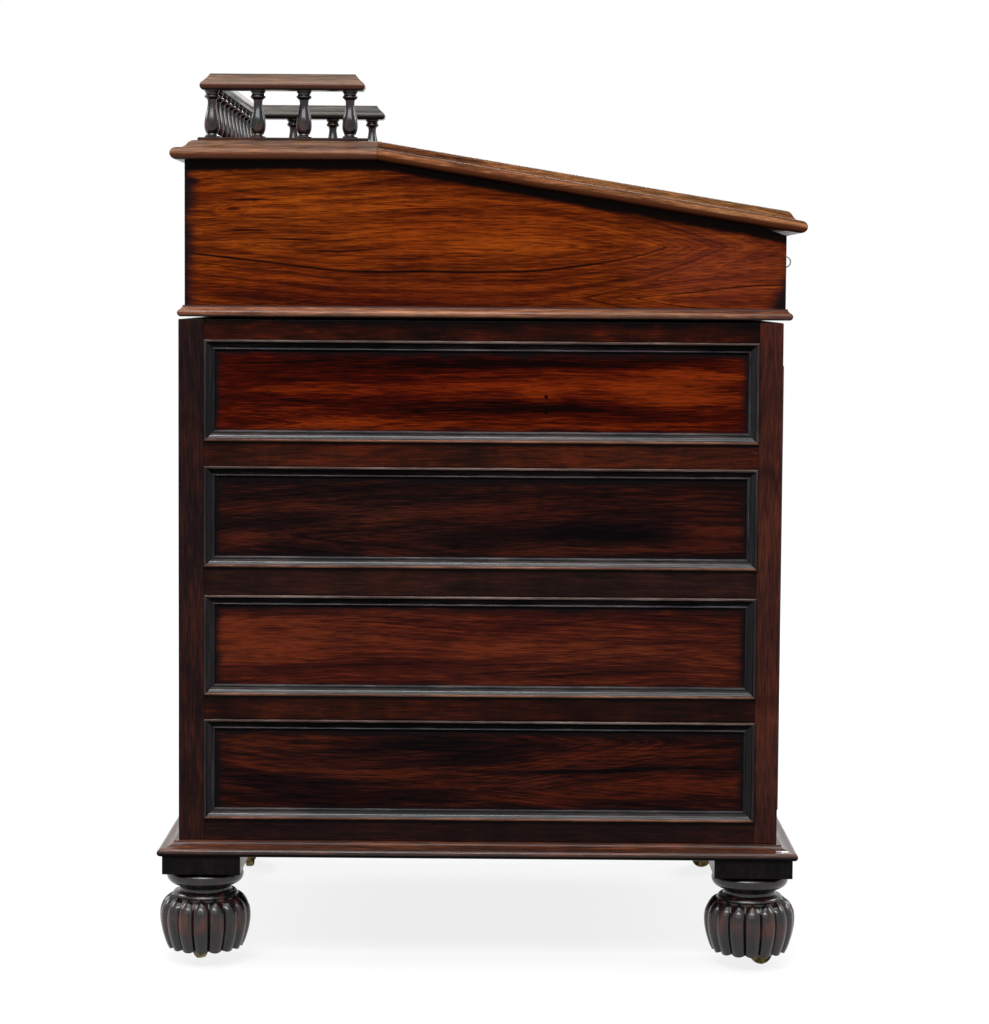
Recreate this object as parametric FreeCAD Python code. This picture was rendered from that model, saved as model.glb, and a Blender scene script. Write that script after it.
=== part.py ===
"""Davenport desk with a sliding writing box, built piece by piece in millimetres.

+Z is up, the sitter's side faces -Y and the real drawers open towards +X; the side at -X has dummy
drawer fronts. The origin is on the floor, midway between the plinth's back edge and the lid's front
edge. Depths u run forwards from the back face of the case, so y = BACK_Y - u.

An outline is a list of steps from one point to the next: (a, b) is a straight run to that point,
[(a, b), (a, b)] an arc through the first point to the second, and a longer list a smooth curve.
"""

import FreeCAD
import Part
import math
import os
from FreeCAD import Rotation, Vector

# ---- Driving dimensions -----------------------------------------------------------------------
# Pedestal case
CASE_WIDTH = 505.0
CASE_DEPTH = 610.0
CASE_HEIGHT = 530.5
SIDE_THICKNESS = 20.0
BACK_STILE_WIDTH = 26.0
FRONT_STILE_WIDTH = 24.0
RAIL_HEIGHTS = (22.3, 24.3, 28.3, 25.1, 20.2)  # from the floor up
END_PANEL_THICKNESS = 18.0
END_PANEL_MARGIN = 26.0  # round the moulded frame on the back and front
CASE_TOP_THICKNESS = 18.0
DUST_BOARD_THICKNESS = 9.0
GUIDE_HEIGHT = 12.0

# Plinth, feet and castors
PLINTH_THICKNESS = 14.0
PLINTH_PROJECTION = 20.0
FOOT_INSET = 24.5  # foot centre inside the case faces
FOOT_BLOCK_SIDE = 79.5
FOOT_BLOCK_HEIGHT = 19.0
FOOT_TURNED_HEIGHT = 80.5
MELON_HEIGHT = 52.0  # the lobed part of the turned height
FOOT_LIFT = 18.0  # the turned foot's underside above the floor
FOOT_RADIUS = 46.7
FOOT_LOBES = 16
LOBE_DEPTH = 4.2
CASTOR_RECESS_RADIUS = 29.0
CASTOR_RECESS_DEPTH = 26.0
WHEEL_RADIUS = 12.0
WHEEL_WIDTH = 10.0
CASTOR_TRAIL = 14.0
CASTOR_HEADINGS = {  # degrees that the trail is turned from the front (-Y) at rest, towards +X
    "back_left": 120.0,
    "front_left": 22.0,
    "back_right": -78.0,
    "front_right": 176.0,
}
AXLE_RADIUS = 2.0
PINTLE_RADIUS = 4.0
SOCKET_WALL = 2.0
SOCKET_LENGTH = 28.0
SOCKET_FLANGE = (18.0, 1.8)  # radius and thickness
HORN_DISC = (9.0, 3.0)  # radius and thickness
HORN_CHEEK = 1.6
HORN_BRIDGE = (4.0, 2.0)  # thickness, and how far it stands below the disc
HORN_SHOULDER = 8.0  # ear's front edge below the disc's top
PINTLE_END_SPACE = 3.0  # above the pintle in its socket
AXLE_HEAD = 0.6  # axle's end proud of a cheek
WHEEL_BEVEL = 1.6

# Drawers, real and dummy
FRONT_THICKNESS = 16.0
FRONT_RECESS = 1.5  # the flat field behind the side frame's face
DRAWER_SIDE_THICKNESS = 9.0
DRAWER_BOTTOM_THICKNESS = 5.0
DRAWER_BOTTOM_RAISE = 5.0
DRAWER_SIDE_DROP = 7.0  # side's top edge below the front's
DRAWER_END_SPACE = 8.0
KNOB_SPACING = 300.0
DRAWER_KNOB = (17.5, 26.0, 5.0)  # radius, projection and spigot radius

# Writing box that slides on the case
BOX_SIDE_SETBACK = 4.0  # box's sides inside the case's faces
BOX_SETBACK = 6.0  # box's back face in front of the case's back face
BOX_FRONT_LEAD = 2.0  # box's front face in front of the case's front face
BOX_BACK_HEIGHT = 157.2
BOX_WALL = 14.0
BOX_BOTTOM_THICKNESS = 10.0
SLIDE_GAP = 2.5
SLIDE_TRAVEL = 200.0
BATTEN_START = 60.0  # behind the batten, from the case's back face
GROOVE_STOP = 10.0  # wood left in front of the batten's groove
BATTEN_HEIGHT = 9.0
BATTEN_TOP_WIDTH = 24.0
BATTEN_FLARE = 4.0
BATTEN_OFFSET = 150.0
WAIST_HEIGHT = 11.5
WAIST_PROJECTION = 7.0

# Fixed top, lid and gallery
TOP_THICKNESS = 20.3
TOP_OVERHANG = 13.6
CREST_DEPTH = 194.0  # from the box's back face to the joint with the lid
LID_SLOPE = 9.23  # degrees
LID_OVERHANG = 19.8  # lid's nose in front of the box, measured level
LID_DAYLIGHT = 4.8  # under the closed lid, over the box front
EDGE_EASE = 24.0  # where the lid parts from the side's falling top edge, behind the box front
LEATHER_MARGIN_BACK = 34.0
LEATHER_MARGIN = 32.0
LEATHER_THICKNESS = 1.0
STRIP_THICKNESS = 3.2
STRIP_INSET = 11.6
STRIP_WIDTH = 26.8
STRIP_CREST_SPACE = 9.5
SPINDLE_HEIGHT = 48.0
SPINDLE_BULB_RADIUS = 7.9
SPINDLE_RING_RADIUS = 7.6
SPINDLE_NECK_RADIUS = 4.4
SPINDLE_END_INSET = 19.7  # front spindle's centre behind the strip's front end
SPINDLES_PER_SIDE = 4  # the corner one included
SPINDLES_ACROSS_BACK = 12  # both corner ones included
RAIL_WIDTH = 23.0
RAIL_THICKNESS = 16.7
RAIL_END_REACH = 15.3  # rail's nose in front of the front spindle's centre

# Hinges, lock and key
HINGE_LENGTH = 60.0
HINGE_OFFSET = 150.0
HINGE_DEPTH = 15.0
HINGE_LEAF = 1.5
KNUCKLE_RADIUS = 3.2
KNUCKLE_COUNT = 5
KNUCKLE_GAP = 0.3  # between neighbouring knuckles
HINGE_PIN_RADIUS = 1.3
LOCK_WIDTH = 44.0
LOCK_HEIGHT = 40.0
LOCK_WALL = 1.6
LOCK_DEPTH = 9.4
KEY_DROP = 23.2  # key's axis below the box front's top edge
KEY_SHANK_RADIUS = 2.0
KEY_BIT_RADIUS = 7.0
KEY_BOW_RADIUS = 6.6
KEY_BOW_RIM = 1.6
KEY_REACH = 32.3  # bow's far edge in front of the box
KEY_SLOT = 2.4  # width of the keyhole's slot
KEY_SLOT_ROOM = 0.6  # below the bit
KEY_COLLAR = (1.0, 1.0, 2.2)  # proud of the shank, in front of the box, length
KEY_BIT_THICKNESS = 1.8
ESCUTCHEON = (11.0, 12.0, 6.5, 1.0)  # width, drop and rise from the key, thickness
KEEP_WIDTH = 36.0
KEEP_DEPTH = 18.0
KEEP_THICKNESS = 1.5
BOLT_THICKNESS = 3.0
BOLT_WIDTH = 14.0
BOLT_THROW = 13.0
BOLT_SINK = 0.2  # drawn bolt's top below the box front's top edge
BOLT_FOOT = 1.5  # bolt's lower end below the key's bit
BOLT_WAY_ROOM = (0.6, 0.9)  # beside the shank, and more above it

# Fitted interior, with the pen drawer in the right-hand side
BANK_DEPTH = 160.0
BANK_HEAD_SPACE = 23.2  # between the bank and the fixed top
BANK_SHELF_RISE = 68.0
BANK_BOARD = 6.0
SMALL_DRAWER_WALL = 5.0
SMALL_KNOB = (6.5, 11.0, 2.0)  # radius, projection and spigot radius
SMALL_DRAWER_FLOOR = 4.0
SMALL_DRAWER_DROP = 3.0  # side's top edge below the front's
PEN_DRAWER_END_SPACE = 31.5  # behind the drawer, before the bank's middle board
PEN_DRAWER_START = 16.0  # in front of the box's back board
PEN_DRAWER_WIDTH = 118.0
PEN_FRONT_THICKNESS = 12.0
INKWELL_SIDE = 38.0
INKWELL_SHARE = 0.68  # inkwell's height as a share of the pen drawer's opening
INKWELL_NECK = 8.0
INKWELL_ROOM = 0.5  # between an inkwell and the side of its place
INKWELL_NECK_SHARE = 0.62  # neck's radius as a share of half the side

# Clearances
RUN_GAP = 0.3  # between pieces that slide or swing past each other
FRONT_GAP = 0.6  # round a drawer front in its opening
SHAFT_GAP = 0.05  # radial, round a pin or shaft
SOCKET_GAP = 0.1  # radial, round a castor socket in its foot
SMALL_DRAWER_GAP = 0.5  # beside and above an interior drawer
DRAWER_SIDE_GAP = 0.8
BIG = 2000.0

# ---- Places that follow ------------------------------------------------------------------------
BOX_BACK_U = BOX_SETBACK
BOX_FRONT_U = CASE_DEPTH + BOX_FRONT_LEAD
BACK_Y = (BOX_FRONT_U + LID_OVERHANG - PLINTH_PROJECTION) / 2
HALF_CASE = CASE_WIDTH / 2
HALF_BOX = HALF_CASE - BOX_SIDE_SETBACK
HALF_INNER_CASE = HALF_CASE - SIDE_THICKNESS
BLOCK_BOTTOM = FOOT_LIFT + FOOT_TURNED_HEIGHT
PLINTH_BOTTOM = BLOCK_BOTTOM + FOOT_BLOCK_HEIGHT
CASE_BOTTOM = PLINTH_BOTTOM + PLINTH_THICKNESS
CASE_TOP = CASE_BOTTOM + CASE_HEIGHT
FRONT_HEIGHT = (CASE_HEIGHT - sum(RAIL_HEIGHTS)) / 4
OPENING_U = (BACK_STILE_WIDTH, CASE_DEPTH - FRONT_STILE_WIDTH)
BOX_BOTTOM = CASE_TOP + SLIDE_GAP
BATTEN_LENGTH = CASE_DEPTH - BATTEN_START - GROOVE_STOP - SLIDE_TRAVEL
BOX_FLOOR = BOX_BOTTOM + BOX_BOTTOM_THICKNESS
TOP_BOTTOM = BOX_BOTTOM + BOX_BACK_HEIGHT
TOP_SURFACE = TOP_BOTTOM + TOP_THICKNESS
CREST_U = BOX_BACK_U + CREST_DEPTH
HALF_TOP = HALF_BOX + TOP_OVERHANG
STRIP_TOP = TOP_SURFACE + STRIP_THICKNESS
RAIL_BOTTOM = STRIP_TOP + SPINDLE_HEIGHT


def slope_level(u, below):
    """Level of a plane parallel to the lid's top surface, a distance below it, at depth u."""
    slope = math.radians(LID_SLOPE)
    return TOP_SURFACE - (u - CREST_U) * math.tan(slope) - below / math.cos(slope)


BOX_FRONT_TOP = slope_level(BOX_FRONT_U, TOP_THICKNESS) - LID_DAYLIGHT
KEY_Z = BOX_FRONT_TOP - KEY_DROP


def rail_bottom_of(index):
    """Lowest level of a side frame's rail, counted from the floor up."""
    return CASE_BOTTOM + sum(RAIL_HEIGHTS[:index]) + index * FRONT_HEIGHT


def opening_z(number):
    """Bottom and top of the opening of drawer 1 (topmost) to 4 (lowest)."""
    bottom = rail_bottom_of(4 - number) + RAIL_HEIGHTS[4 - number]
    return bottom, bottom + FRONT_HEIGHT


# ---- Shape helpers -----------------------------------------------------------------------------
def board(x, u, z):
    """A box between two x, two depths u and two levels z."""
    corner = Vector(x[0], BACK_Y - u[1], z[0])
    return Part.makeBox(x[1] - x[0], u[1] - u[0], z[1] - z[0], corner)


def outline(steps, place):
    """A closed flat face from an outline's steps, each point put in space by place(a, b)."""
    edges = []
    here = place(*steps[0])
    first = here
    for step in steps[1:]:
        if isinstance(step, tuple):
            there = place(*step)
            edges.append(Part.LineSegment(here, there).toShape())
        elif len(step) == 2:
            there = place(*step[1])
            edges.append(Part.Arc(here, place(*step[0]), there).toShape())
        else:
            there = place(*step[-1])
            curve = Part.BSplineCurve()
            curve.interpolate([here] + [place(*point) for point in step])
            edges.append(curve.toShape())
        here = there
    if here.distanceToPoint(first) > 1e-6:
        edges.append(Part.LineSegment(here, first).toShape())
    return Part.Face(Part.Wire(edges))


def plan_prism(points, z):
    """An upright prism on a plan outline of (x, u) points."""
    face = outline(points, lambda x, u: Vector(x, BACK_Y - u, z[0]))
    return face.extrude(Vector(0, 0, z[1] - z[0]))


def turned(steps, x, u, z):
    """A turning about a vertical axis; the outline is (radius, height above z)."""
    face = outline(steps, lambda r, h: Vector(r, 0, h))
    solid = face.revolve(Vector(0, 0, 0), Vector(0, 0, 1), 360)
    solid.translate(Vector(x, BACK_Y - u, z))
    return solid


def laid_over(shape, axis, place):
    """Tip a turning's +Z onto another direction and move its origin to place."""
    shape = shape.copy()
    shape.Placement = FreeCAD.Placement(place, Rotation(Vector(0, 0, 1), axis))
    return shape


def rod(radius, start, end):
    """A round bar from one point to another."""
    run = end - start
    return Part.makeCylinder(radius, run.Length, start, run)


def mirrored_steps(steps, middle):
    """The same outline seen from the far side of a = middle, run backwards."""
    points = [steps[0]]
    back = []
    for step in steps[1:]:
        if isinstance(step, tuple):
            back.append((step, points[-1]))
            points.append(step)
        else:
            back.append((step[-1], list(reversed(step[:-1])) + [points[-1]]))
            points.append(step[-1])
    far = lambda p: (2 * middle - p[0], p[1])
    result = []
    for _, target in reversed(back):
        if isinstance(target, tuple):
            result.append(far(target))
        else:
            result.append([far(p) for p in target])
    return far(points[-1]), result


def moulded_section(edge, width, low, high):
    """Section of a board whose low and/or high side carries an edge outline of (inset, height)."""
    plain = [(0.0, 0.0), (0.0, edge[-1][1] if isinstance(edge[-1], tuple) else edge[-1][-1][1])]
    near = edge if low else plain
    far_start, far_steps = mirrored_steps(edge if high else plain, width / 2)
    return list(near) + [far_start] + far_steps


def moulded_board(x, u, z, edge, sides):
    """A board with the edge outline run along some of its sides: 'L', 'R', 'B' (back) and 'F'."""
    across = moulded_section(edge, x[1] - x[0], "L" in sides, "R" in sides)
    along = moulded_section(edge, u[1] - u[0], "B" in sides, "F" in sides)
    face = outline(across, lambda a, b: Vector(x[0] + a, BACK_Y - u[0], z + b))
    lengthwise = face.extrude(Vector(0, u[0] - u[1], 0))
    face = outline(along, lambda a, b: Vector(x[0], BACK_Y - u[0] - a, z + b))
    crosswise = face.extrude(Vector(x[1] - x[0], 0, 0))
    return lengthwise.common(crosswise)


def mitred_frame(width, height, profile, reach):
    """Four mitred lengths round a rectangle in the XY plane, the outline (inset, rise) standing in +Z."""
    lengths = []
    for quarter in range(4):
        across, along = (width, height) if quarter % 2 == 0 else (height, width)
        face = outline(profile, lambda a, b: Vector(-across / 2, -along / 2 + a, b))
        bar = face.extrude(Vector(across, 0, 0))
        corners = [
            Vector(-across / 2, -along / 2, -1),
            Vector(across / 2, -along / 2, -1),
            Vector(across / 2 - reach, -along / 2 + reach, -1),
            Vector(-across / 2 + reach, -along / 2 + reach, -1),
        ]
        plan = Part.Face(Part.makePolygon(corners + corners[:1])).extrude(Vector(0, 0, BIG))
        bar = bar.common(plan)
        bar.rotate(Vector(0, 0, 0), Vector(0, 0, 1), 90 * quarter)
        lengths.append(bar)
    return lengths


def stood_up(shapes, normal, up, centre):
    """Stand pieces made in the XY plane against a face: +Z to normal, +Y to up."""
    turn = Rotation(up.cross(normal), up, normal, "ZYX")
    for shape in shapes:
        shape.Placement = FreeCAD.Placement(centre, turn).multiply(shape.Placement)
    return shapes


def joined(shapes):
    """One solid from overlapping shapes."""
    result = shapes[0].fuse(shapes[1:]) if len(shapes) > 1 else shapes[0]
    return result.removeSplitter()


PIECES = {}


def keep(name, *shapes):
    """File solids under a node's name; a node may hold several separate solids."""
    for shape in shapes:
        PIECES.setdefault(name, []).extend(shape.Solids)


# ---- Edge outlines -----------------------------------------------------------------------------
# Plinth: rounded nose, cove and top fillet.
PLINTH_EDGE = [
    (3.0, 0.0),
    [(0.0, 4.0), (3.0, 8.0)],
    [(11.0, 9.2), (15.5, PLINTH_THICKNESS - 1.6)],
    (15.5, PLINTH_THICKNESS),
]

# Fixed top and lid: half-round nose, cove and a soft upper round.
NOSE = 6.2
TOP_EDGE = [
    (NOSE, 0.0),
    [(0.0, NOSE), (NOSE, 2 * NOSE)],
    [(12.6, 2 * NOSE + 1.1), (16.2, TOP_THICKNESS - 3.2)],
    [(19.3, TOP_THICKNESS - 0.8), (23.6, TOP_THICKNESS)],
]
TOP_ARRIS = TOP_EDGE[-1][-1][0]  # from the nose to where the flat begins

# Gallery strip: a plain board with a small bevel.
STRIP_EDGE = [(0.0, 0.0), (0.0, STRIP_THICKNESS - 1.0), (1.0, STRIP_THICKNESS)]

# Gallery rail: round nose and a hollow chamfer up to a narrow flat.
RAIL_EDGE = [
    (2.4, 0.0),
    [(0.0, 4.2), (2.4, 8.4)],
    [(6.4, 12.3), (9.8, RAIL_THICKNESS)],
]

# Waist moulding under the box, outermost first: nose below, small hollow and fillet above.
WAIST_EDGE = [
    (3.0, 0.0),
    [(0.0, 3.8), (3.0, 7.6)],
    (5.0, WAIST_HEIGHT - 1.5),
    (5.0, WAIST_HEIGHT),
    (WAIST_PROJECTION, WAIST_HEIGHT),
    (WAIST_PROJECTION, 0.0),
]

# Moulding round each drawer front: outer bead, hollow, inner bead; (inset, rise) from the field.
PANEL_MOULDING = [
    (0.0, 0.0),
    (0.0, 4.9),
    [(1.4, 5.8), (2.8, 4.9)],
    (2.8, 3.7),
    [(5.2, 1.8), (8.2, 1.3)],
    [(9.6, 2.3), (11.2, 1.0)],
    (11.2, 0.0),
]


# ---- Pedestal case -----------------------------------------------------------------------------
def make_plinth():
    x = (-HALF_CASE - PLINTH_PROJECTION, HALF_CASE + PLINTH_PROJECTION)
    u = (-PLINTH_PROJECTION, CASE_DEPTH + PLINTH_PROJECTION)
    keep("plinth", moulded_board(x, u, PLINTH_BOTTOM, PLINTH_EDGE, "LRBF"))


def make_side_frames():
    """Corner stiles and side rails, the same on the drawer side and the dummy side."""
    for side in (-1, 1):
        x = sorted((side * HALF_INNER_CASE, side * HALF_CASE))
        for u in ((0.0, BACK_STILE_WIDTH), (CASE_DEPTH - FRONT_STILE_WIDTH, CASE_DEPTH)):
            keep("corner_stiles", board(x, u, (CASE_BOTTOM, CASE_TOP)))
        for index, height in enumerate(RAIL_HEIGHTS):
            low = rail_bottom_of(index)
            keep("side_rails", board(x, OPENING_U, (low, low + height)))


def end_panel(u, outward):
    """Back or front panel between the side frames, with one moulded frame on its outer face."""
    top = CASE_TOP - CASE_TOP_THICKNESS
    panel = board((-HALF_INNER_CASE, HALF_INNER_CASE), u, (CASE_BOTTOM, top))
    width = 2 * (HALF_INNER_CASE - END_PANEL_MARGIN)
    height = top - CASE_BOTTOM - 2 * END_PANEL_MARGIN
    lengths = mitred_frame(width, height, PANEL_MOULDING, PANEL_MOULDING[-1][0])
    face_u = u[0] if outward > 0 else u[1]
    centre = Vector(0, BACK_Y - face_u, (CASE_BOTTOM + top) / 2)
    return [panel] + stood_up(lengths, Vector(0, outward, 0), Vector(0, 0, 1), centre)


def make_end_panels():
    keep("case_back", *end_panel((0.0, END_PANEL_THICKNESS), 1))
    keep("case_front", *end_panel((CASE_DEPTH - END_PANEL_THICKNESS, CASE_DEPTH), -1))


def batten_section(spread, rise):
    """Dovetail section of a batten or its groove, (across, level) from the case top's upper face."""
    top = BATTEN_TOP_WIDTH / 2 + spread
    foot = top + BATTEN_FLARE
    depth = BATTEN_HEIGHT + spread
    return [(-top, rise), (-top, 0.0), (-foot, -depth), (foot, -depth), (top, 0.0), (top, rise)]


def dovetail(middle, u, spread, rise):
    place = lambda a, b: Vector(middle + a, BACK_Y - u[0], CASE_TOP + b)
    return outline(batten_section(spread, rise), place).extrude(Vector(0, u[0] - u[1], 0))


def make_case_top():
    """Top board of the case, with two dovetail grooves for the box's battens."""
    x = (-HALF_INNER_CASE, HALF_INNER_CASE)
    top = board(x, (0.0, CASE_DEPTH), (CASE_TOP - CASE_TOP_THICKNESS, CASE_TOP))
    groove_u = (BATTEN_START - RUN_GAP, CASE_DEPTH - GROOVE_STOP + RUN_GAP)
    for side in (-1, 1):
        top = top.cut(dovetail(side * BATTEN_OFFSET, groove_u, RUN_GAP, SLIDE_GAP))
    keep("case_top", top)


def make_drawer_supports():
    """A dust board under each drawer, and guide strips beside it."""
    inner_u = (END_PANEL_THICKNESS, CASE_DEPTH - END_PANEL_THICKNESS)
    inner_x = (-HALF_INNER_CASE, HALF_INNER_CASE)
    for number in (1, 2, 3, 4):
        floor = opening_z(number)[0]
        keep("dust_boards", board(inner_x, inner_u, (floor - DUST_BOARD_THICKNESS, floor)))
        for u in ((inner_u[0], OPENING_U[0] + RUN_GAP), (OPENING_U[1] - RUN_GAP, inner_u[1])):
            keep("drawer_guides", board(inner_x, u, (floor, floor + GUIDE_HEIGHT)))


# ---- Feet and castors --------------------------------------------------------------------------
def foot_places():
    for end, u in (("back", FOOT_INSET), ("front", CASE_DEPTH - FOOT_INSET)):
        for hand, x in (("left", -HALF_CASE + FOOT_INSET), ("right", HALF_CASE - FOOT_INSET)):
            yield end + "_" + hand, x, u


def lobed_wire(radius, depth, z):
    """A ring of outward-bowed lobes that meet in V grooves, at one level of the melon."""
    step = 2 * math.pi / FOOT_LOBES
    point = lambda r, angle: Vector(r * math.cos(angle), r * math.sin(angle), z)
    edges = []
    for lobe in range(FOOT_LOBES):
        start = (lobe - 0.5) * step
        groove, crown = point(radius - depth, start), point(radius, start + step / 2)
        edges.append(Part.Arc(groove, crown, point(radius - depth, start + step)).toShape())
    return Part.Wire(edges)


def melon():
    """The lobed body: level as a share of its height, radius and groove depth as shares."""
    levels = ((0.0, 0.82, 0.7), (0.23, 0.925, 1.0), (0.60, 1.0, 1.0), (0.87, 0.935, 1.0), (1.0, 0.78, 0.5))
    wires = []
    for level, share, depth in levels:
        wires.append(lobed_wire(FOOT_RADIUS * share, LOBE_DEPTH * depth, MELON_HEIGHT * level))
    return Part.makeLoft(wires, True, True)


def foot_collar():
    """Fillet, ovolo, neck and bead ring between the melon and the square block."""
    rise = FOOT_TURNED_HEIGHT - MELON_HEIGHT
    shares = [
        (0.0, -0.1),
        (0.72, -0.1),
        (0.72, 0.06),
        [(0.69, 0.14), (0.604, 0.19)],
        (0.576, 0.22),
        [(0.567, 0.30), (0.59, 0.39)],
        (0.634, 0.45),
        [(0.805, 0.58), (0.844, 0.75)],
        [(0.822, 0.88), (0.74, 0.96)],
        (0.717, 1.0),
        (0.0, 1.0),
    ]
    scaled = lambda p: (p[0] * FOOT_RADIUS, MELON_HEIGHT + p[1] * rise)
    steps = [scaled(step) if isinstance(step, tuple) else [scaled(p) for p in step] for step in shares]
    return turned(steps, 0, BACK_Y, 0)


def make_feet():
    """Square pad, collar and lobed melon, hollowed below for the castor and bored for its socket."""
    top = FOOT_TURNED_HEIGHT
    body = joined([melon(), foot_collar()])
    recess = Part.makeCylinder(CASTOR_RECESS_RADIUS, CASTOR_RECESS_DEPTH + 1, Vector(0, 0, -1))
    bore = PINTLE_RADIUS + SHAFT_GAP + SOCKET_WALL + SOCKET_GAP
    socket_hole = Part.makeCylinder(bore, SOCKET_LENGTH + 2, Vector(0, 0, CASTOR_RECESS_DEPTH - 1))
    body = body.cut(recess.fuse(socket_hole))
    half = FOOT_BLOCK_SIDE / 2
    block = Part.makeBox(2 * half, 2 * half, FOOT_BLOCK_HEIGHT, Vector(-half, -half, top))
    foot = joined([body, block])
    for _, x, u in foot_places():
        placed = foot.copy()
        placed.translate(Vector(x, BACK_Y - u, FOOT_LIFT))
        keep("feet", placed)


def castor_parts():
    """Socket, horn and wheel of one castor, its pintle on the Z axis and its trail towards -Y."""
    ceiling = FOOT_LIFT + CASTOR_RECESS_DEPTH
    tube_top = ceiling + SOCKET_LENGTH
    bore = PINTLE_RADIUS + SHAFT_GAP
    flange_radius, flange = SOCKET_FLANGE
    socket = Part.makeCylinder(flange_radius, flange, Vector(0, 0, ceiling - flange))
    socket = socket.fuse(Part.makeCylinder(bore + SOCKET_WALL, SOCKET_LENGTH, Vector(0, 0, ceiling)))
    socket = socket.cut(Part.makeCylinder(bore, SOCKET_LENGTH, Vector(0, 0, ceiling - flange - 1)))

    crown = ceiling - flange - RUN_GAP
    half = WHEEL_WIDTH / 2
    inner = half + RUN_GAP
    outer = inner + HORN_CHEEK
    disc_radius, disc_height = HORN_DISC
    axle = Vector(0, -CASTOR_TRAIL, WHEEL_RADIUS)
    disc = Part.makeCylinder(disc_radius, disc_height, Vector(0, 0, crown - disc_height))
    pintle_length = tube_top - crown - PINTLE_END_SPACE
    pintle = Part.makeCylinder(PINTLE_RADIUS, pintle_length, Vector(0, 0, crown - 1.0))
    bridge_height, bridge_drop = HORN_BRIDGE
    bridge_low = crown - disc_height - bridge_drop
    bridge_back = disc_radius / 3
    corner = Vector(-outer, bridge_back - CASTOR_TRAIL, bridge_low)
    bridge = Part.makeBox(2 * outer, CASTOR_TRAIL, bridge_height, corner)
    horn = [disc, pintle, bridge]
    eye = 2 * AXLE_RADIUS
    for start in (-outer, inner):
        ear = outline(
            [
                (bridge_back, crown - 1.5),
                (bridge_back - CASTOR_TRAIL, crown - 1.5),
                (-CASTOR_TRAIL - eye, WHEEL_RADIUS),
                [(-CASTOR_TRAIL, WHEEL_RADIUS - eye), (-CASTOR_TRAIL + eye, WHEEL_RADIUS)],
                (bridge_back, crown - HORN_SHOULDER),
            ],
            lambda a, b: Vector(start, a, b),
        )
        horn.append(ear.extrude(Vector(HORN_CHEEK, 0, 0)))
    reach = Vector(outer + AXLE_HEAD, 0, 0)
    horn.append(rod(AXLE_RADIUS, axle - reach, axle + reach))
    wheel_outline = [
        (AXLE_RADIUS + SHAFT_GAP, -half),
        (WHEEL_RADIUS - WHEEL_BEVEL, -half),
        (WHEEL_RADIUS, -half + WHEEL_BEVEL),
        (WHEEL_RADIUS, half - WHEEL_BEVEL),
        (WHEEL_RADIUS - WHEEL_BEVEL, half),
        (AXLE_RADIUS + SHAFT_GAP, half),
    ]
    wheel = turned(wheel_outline, 0, BACK_Y, 0)
    return socket, joined(horn), laid_over(wheel, Vector(1, 0, 0), axle)


def make_castors():
    socket, horn, wheel = castor_parts()
    for name, x, u in foot_places():
        nodes = (("castor_sockets", socket), ("castor_horn_" + name, horn), ("castor_wheel_" + name, wheel))
        for node, part in nodes:
            placed = part.copy()
            placed.rotate(Vector(0, 0, 0), Vector(0, 0, 1), CASTOR_HEADINGS[name])
            placed.translate(Vector(x, BACK_Y - u, 0))
            keep(node, placed)


# ---- Drawers -----------------------------------------------------------------------------------
def panelled_front(side, number, gap):
    """Flat board with its mitred moulding, for a drawer (side 1) or a dummy drawer (side -1)."""
    low, high = opening_z(number)
    u = (OPENING_U[0] + gap, OPENING_U[1] - gap)
    z = (low + gap, high - gap)
    field = HALF_CASE - FRONT_RECESS
    x = sorted((side * (field - FRONT_THICKNESS), side * field))
    face = board(x, u, z)
    lengths = mitred_frame(u[1] - u[0], z[1] - z[0], PANEL_MOULDING, PANEL_MOULDING[-1][0])
    centre = Vector(side * field, BACK_Y - (u[0] + u[1]) / 2, (z[0] + z[1]) / 2)
    return face, stood_up(lengths, Vector(side, 0, 0), Vector(0, 0, 1), centre)


def knob(radius, projection, spigot, spigot_length):
    """Mushroom knob turned about +Z from its seat at the origin, with a spigot behind it."""
    shoulder = 0.80 * radius
    dome_foot = 0.86 * projection
    rise = projection - dome_foot
    sphere = (shoulder**2 + rise**2) / (2 * rise)
    half_turn = math.asin(shoulder / sphere) / 2
    crown = (sphere * math.sin(half_turn), projection - sphere * (1 - math.cos(half_turn)))
    steps = [
        (0.0, -spigot_length),
        (spigot, -spigot_length),
        (spigot, 0.0),
        (0.56 * radius, 0.0),
        (0.56 * radius, 0.07 * projection),
        [(0.42 * radius, 0.25 * projection), (0.60 * radius, 0.46 * projection)],
        (0.92 * radius, 0.56 * projection),
        [(radius, 0.66 * projection), (shoulder, dome_foot)],
        [crown, (0.0, projection)],
    ]
    face = outline(steps, lambda r, h: Vector(r, 0, h))
    return face.revolve(Vector(0, 0, 0), Vector(0, 0, 1), 360)


def fit_knob(front, seat, axis, sizes, depth):
    """Bore a front for a knob's spigot; gives the bored front and the seated knob."""
    radius, projection, spigot = sizes
    hole = rod(spigot + SHAFT_GAP, seat, seat - axis * depth)
    turning = knob(radius, projection, spigot, depth - 0.5)
    return front.cut(hole), laid_over(turning, axis, seat)


def make_dummy_fronts():
    for number in (1, 2, 3, 4):
        face, lengths = panelled_front(-1, number, 0.0)
        keep("dummy_front_%d" % number, face, *lengths)


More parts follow.
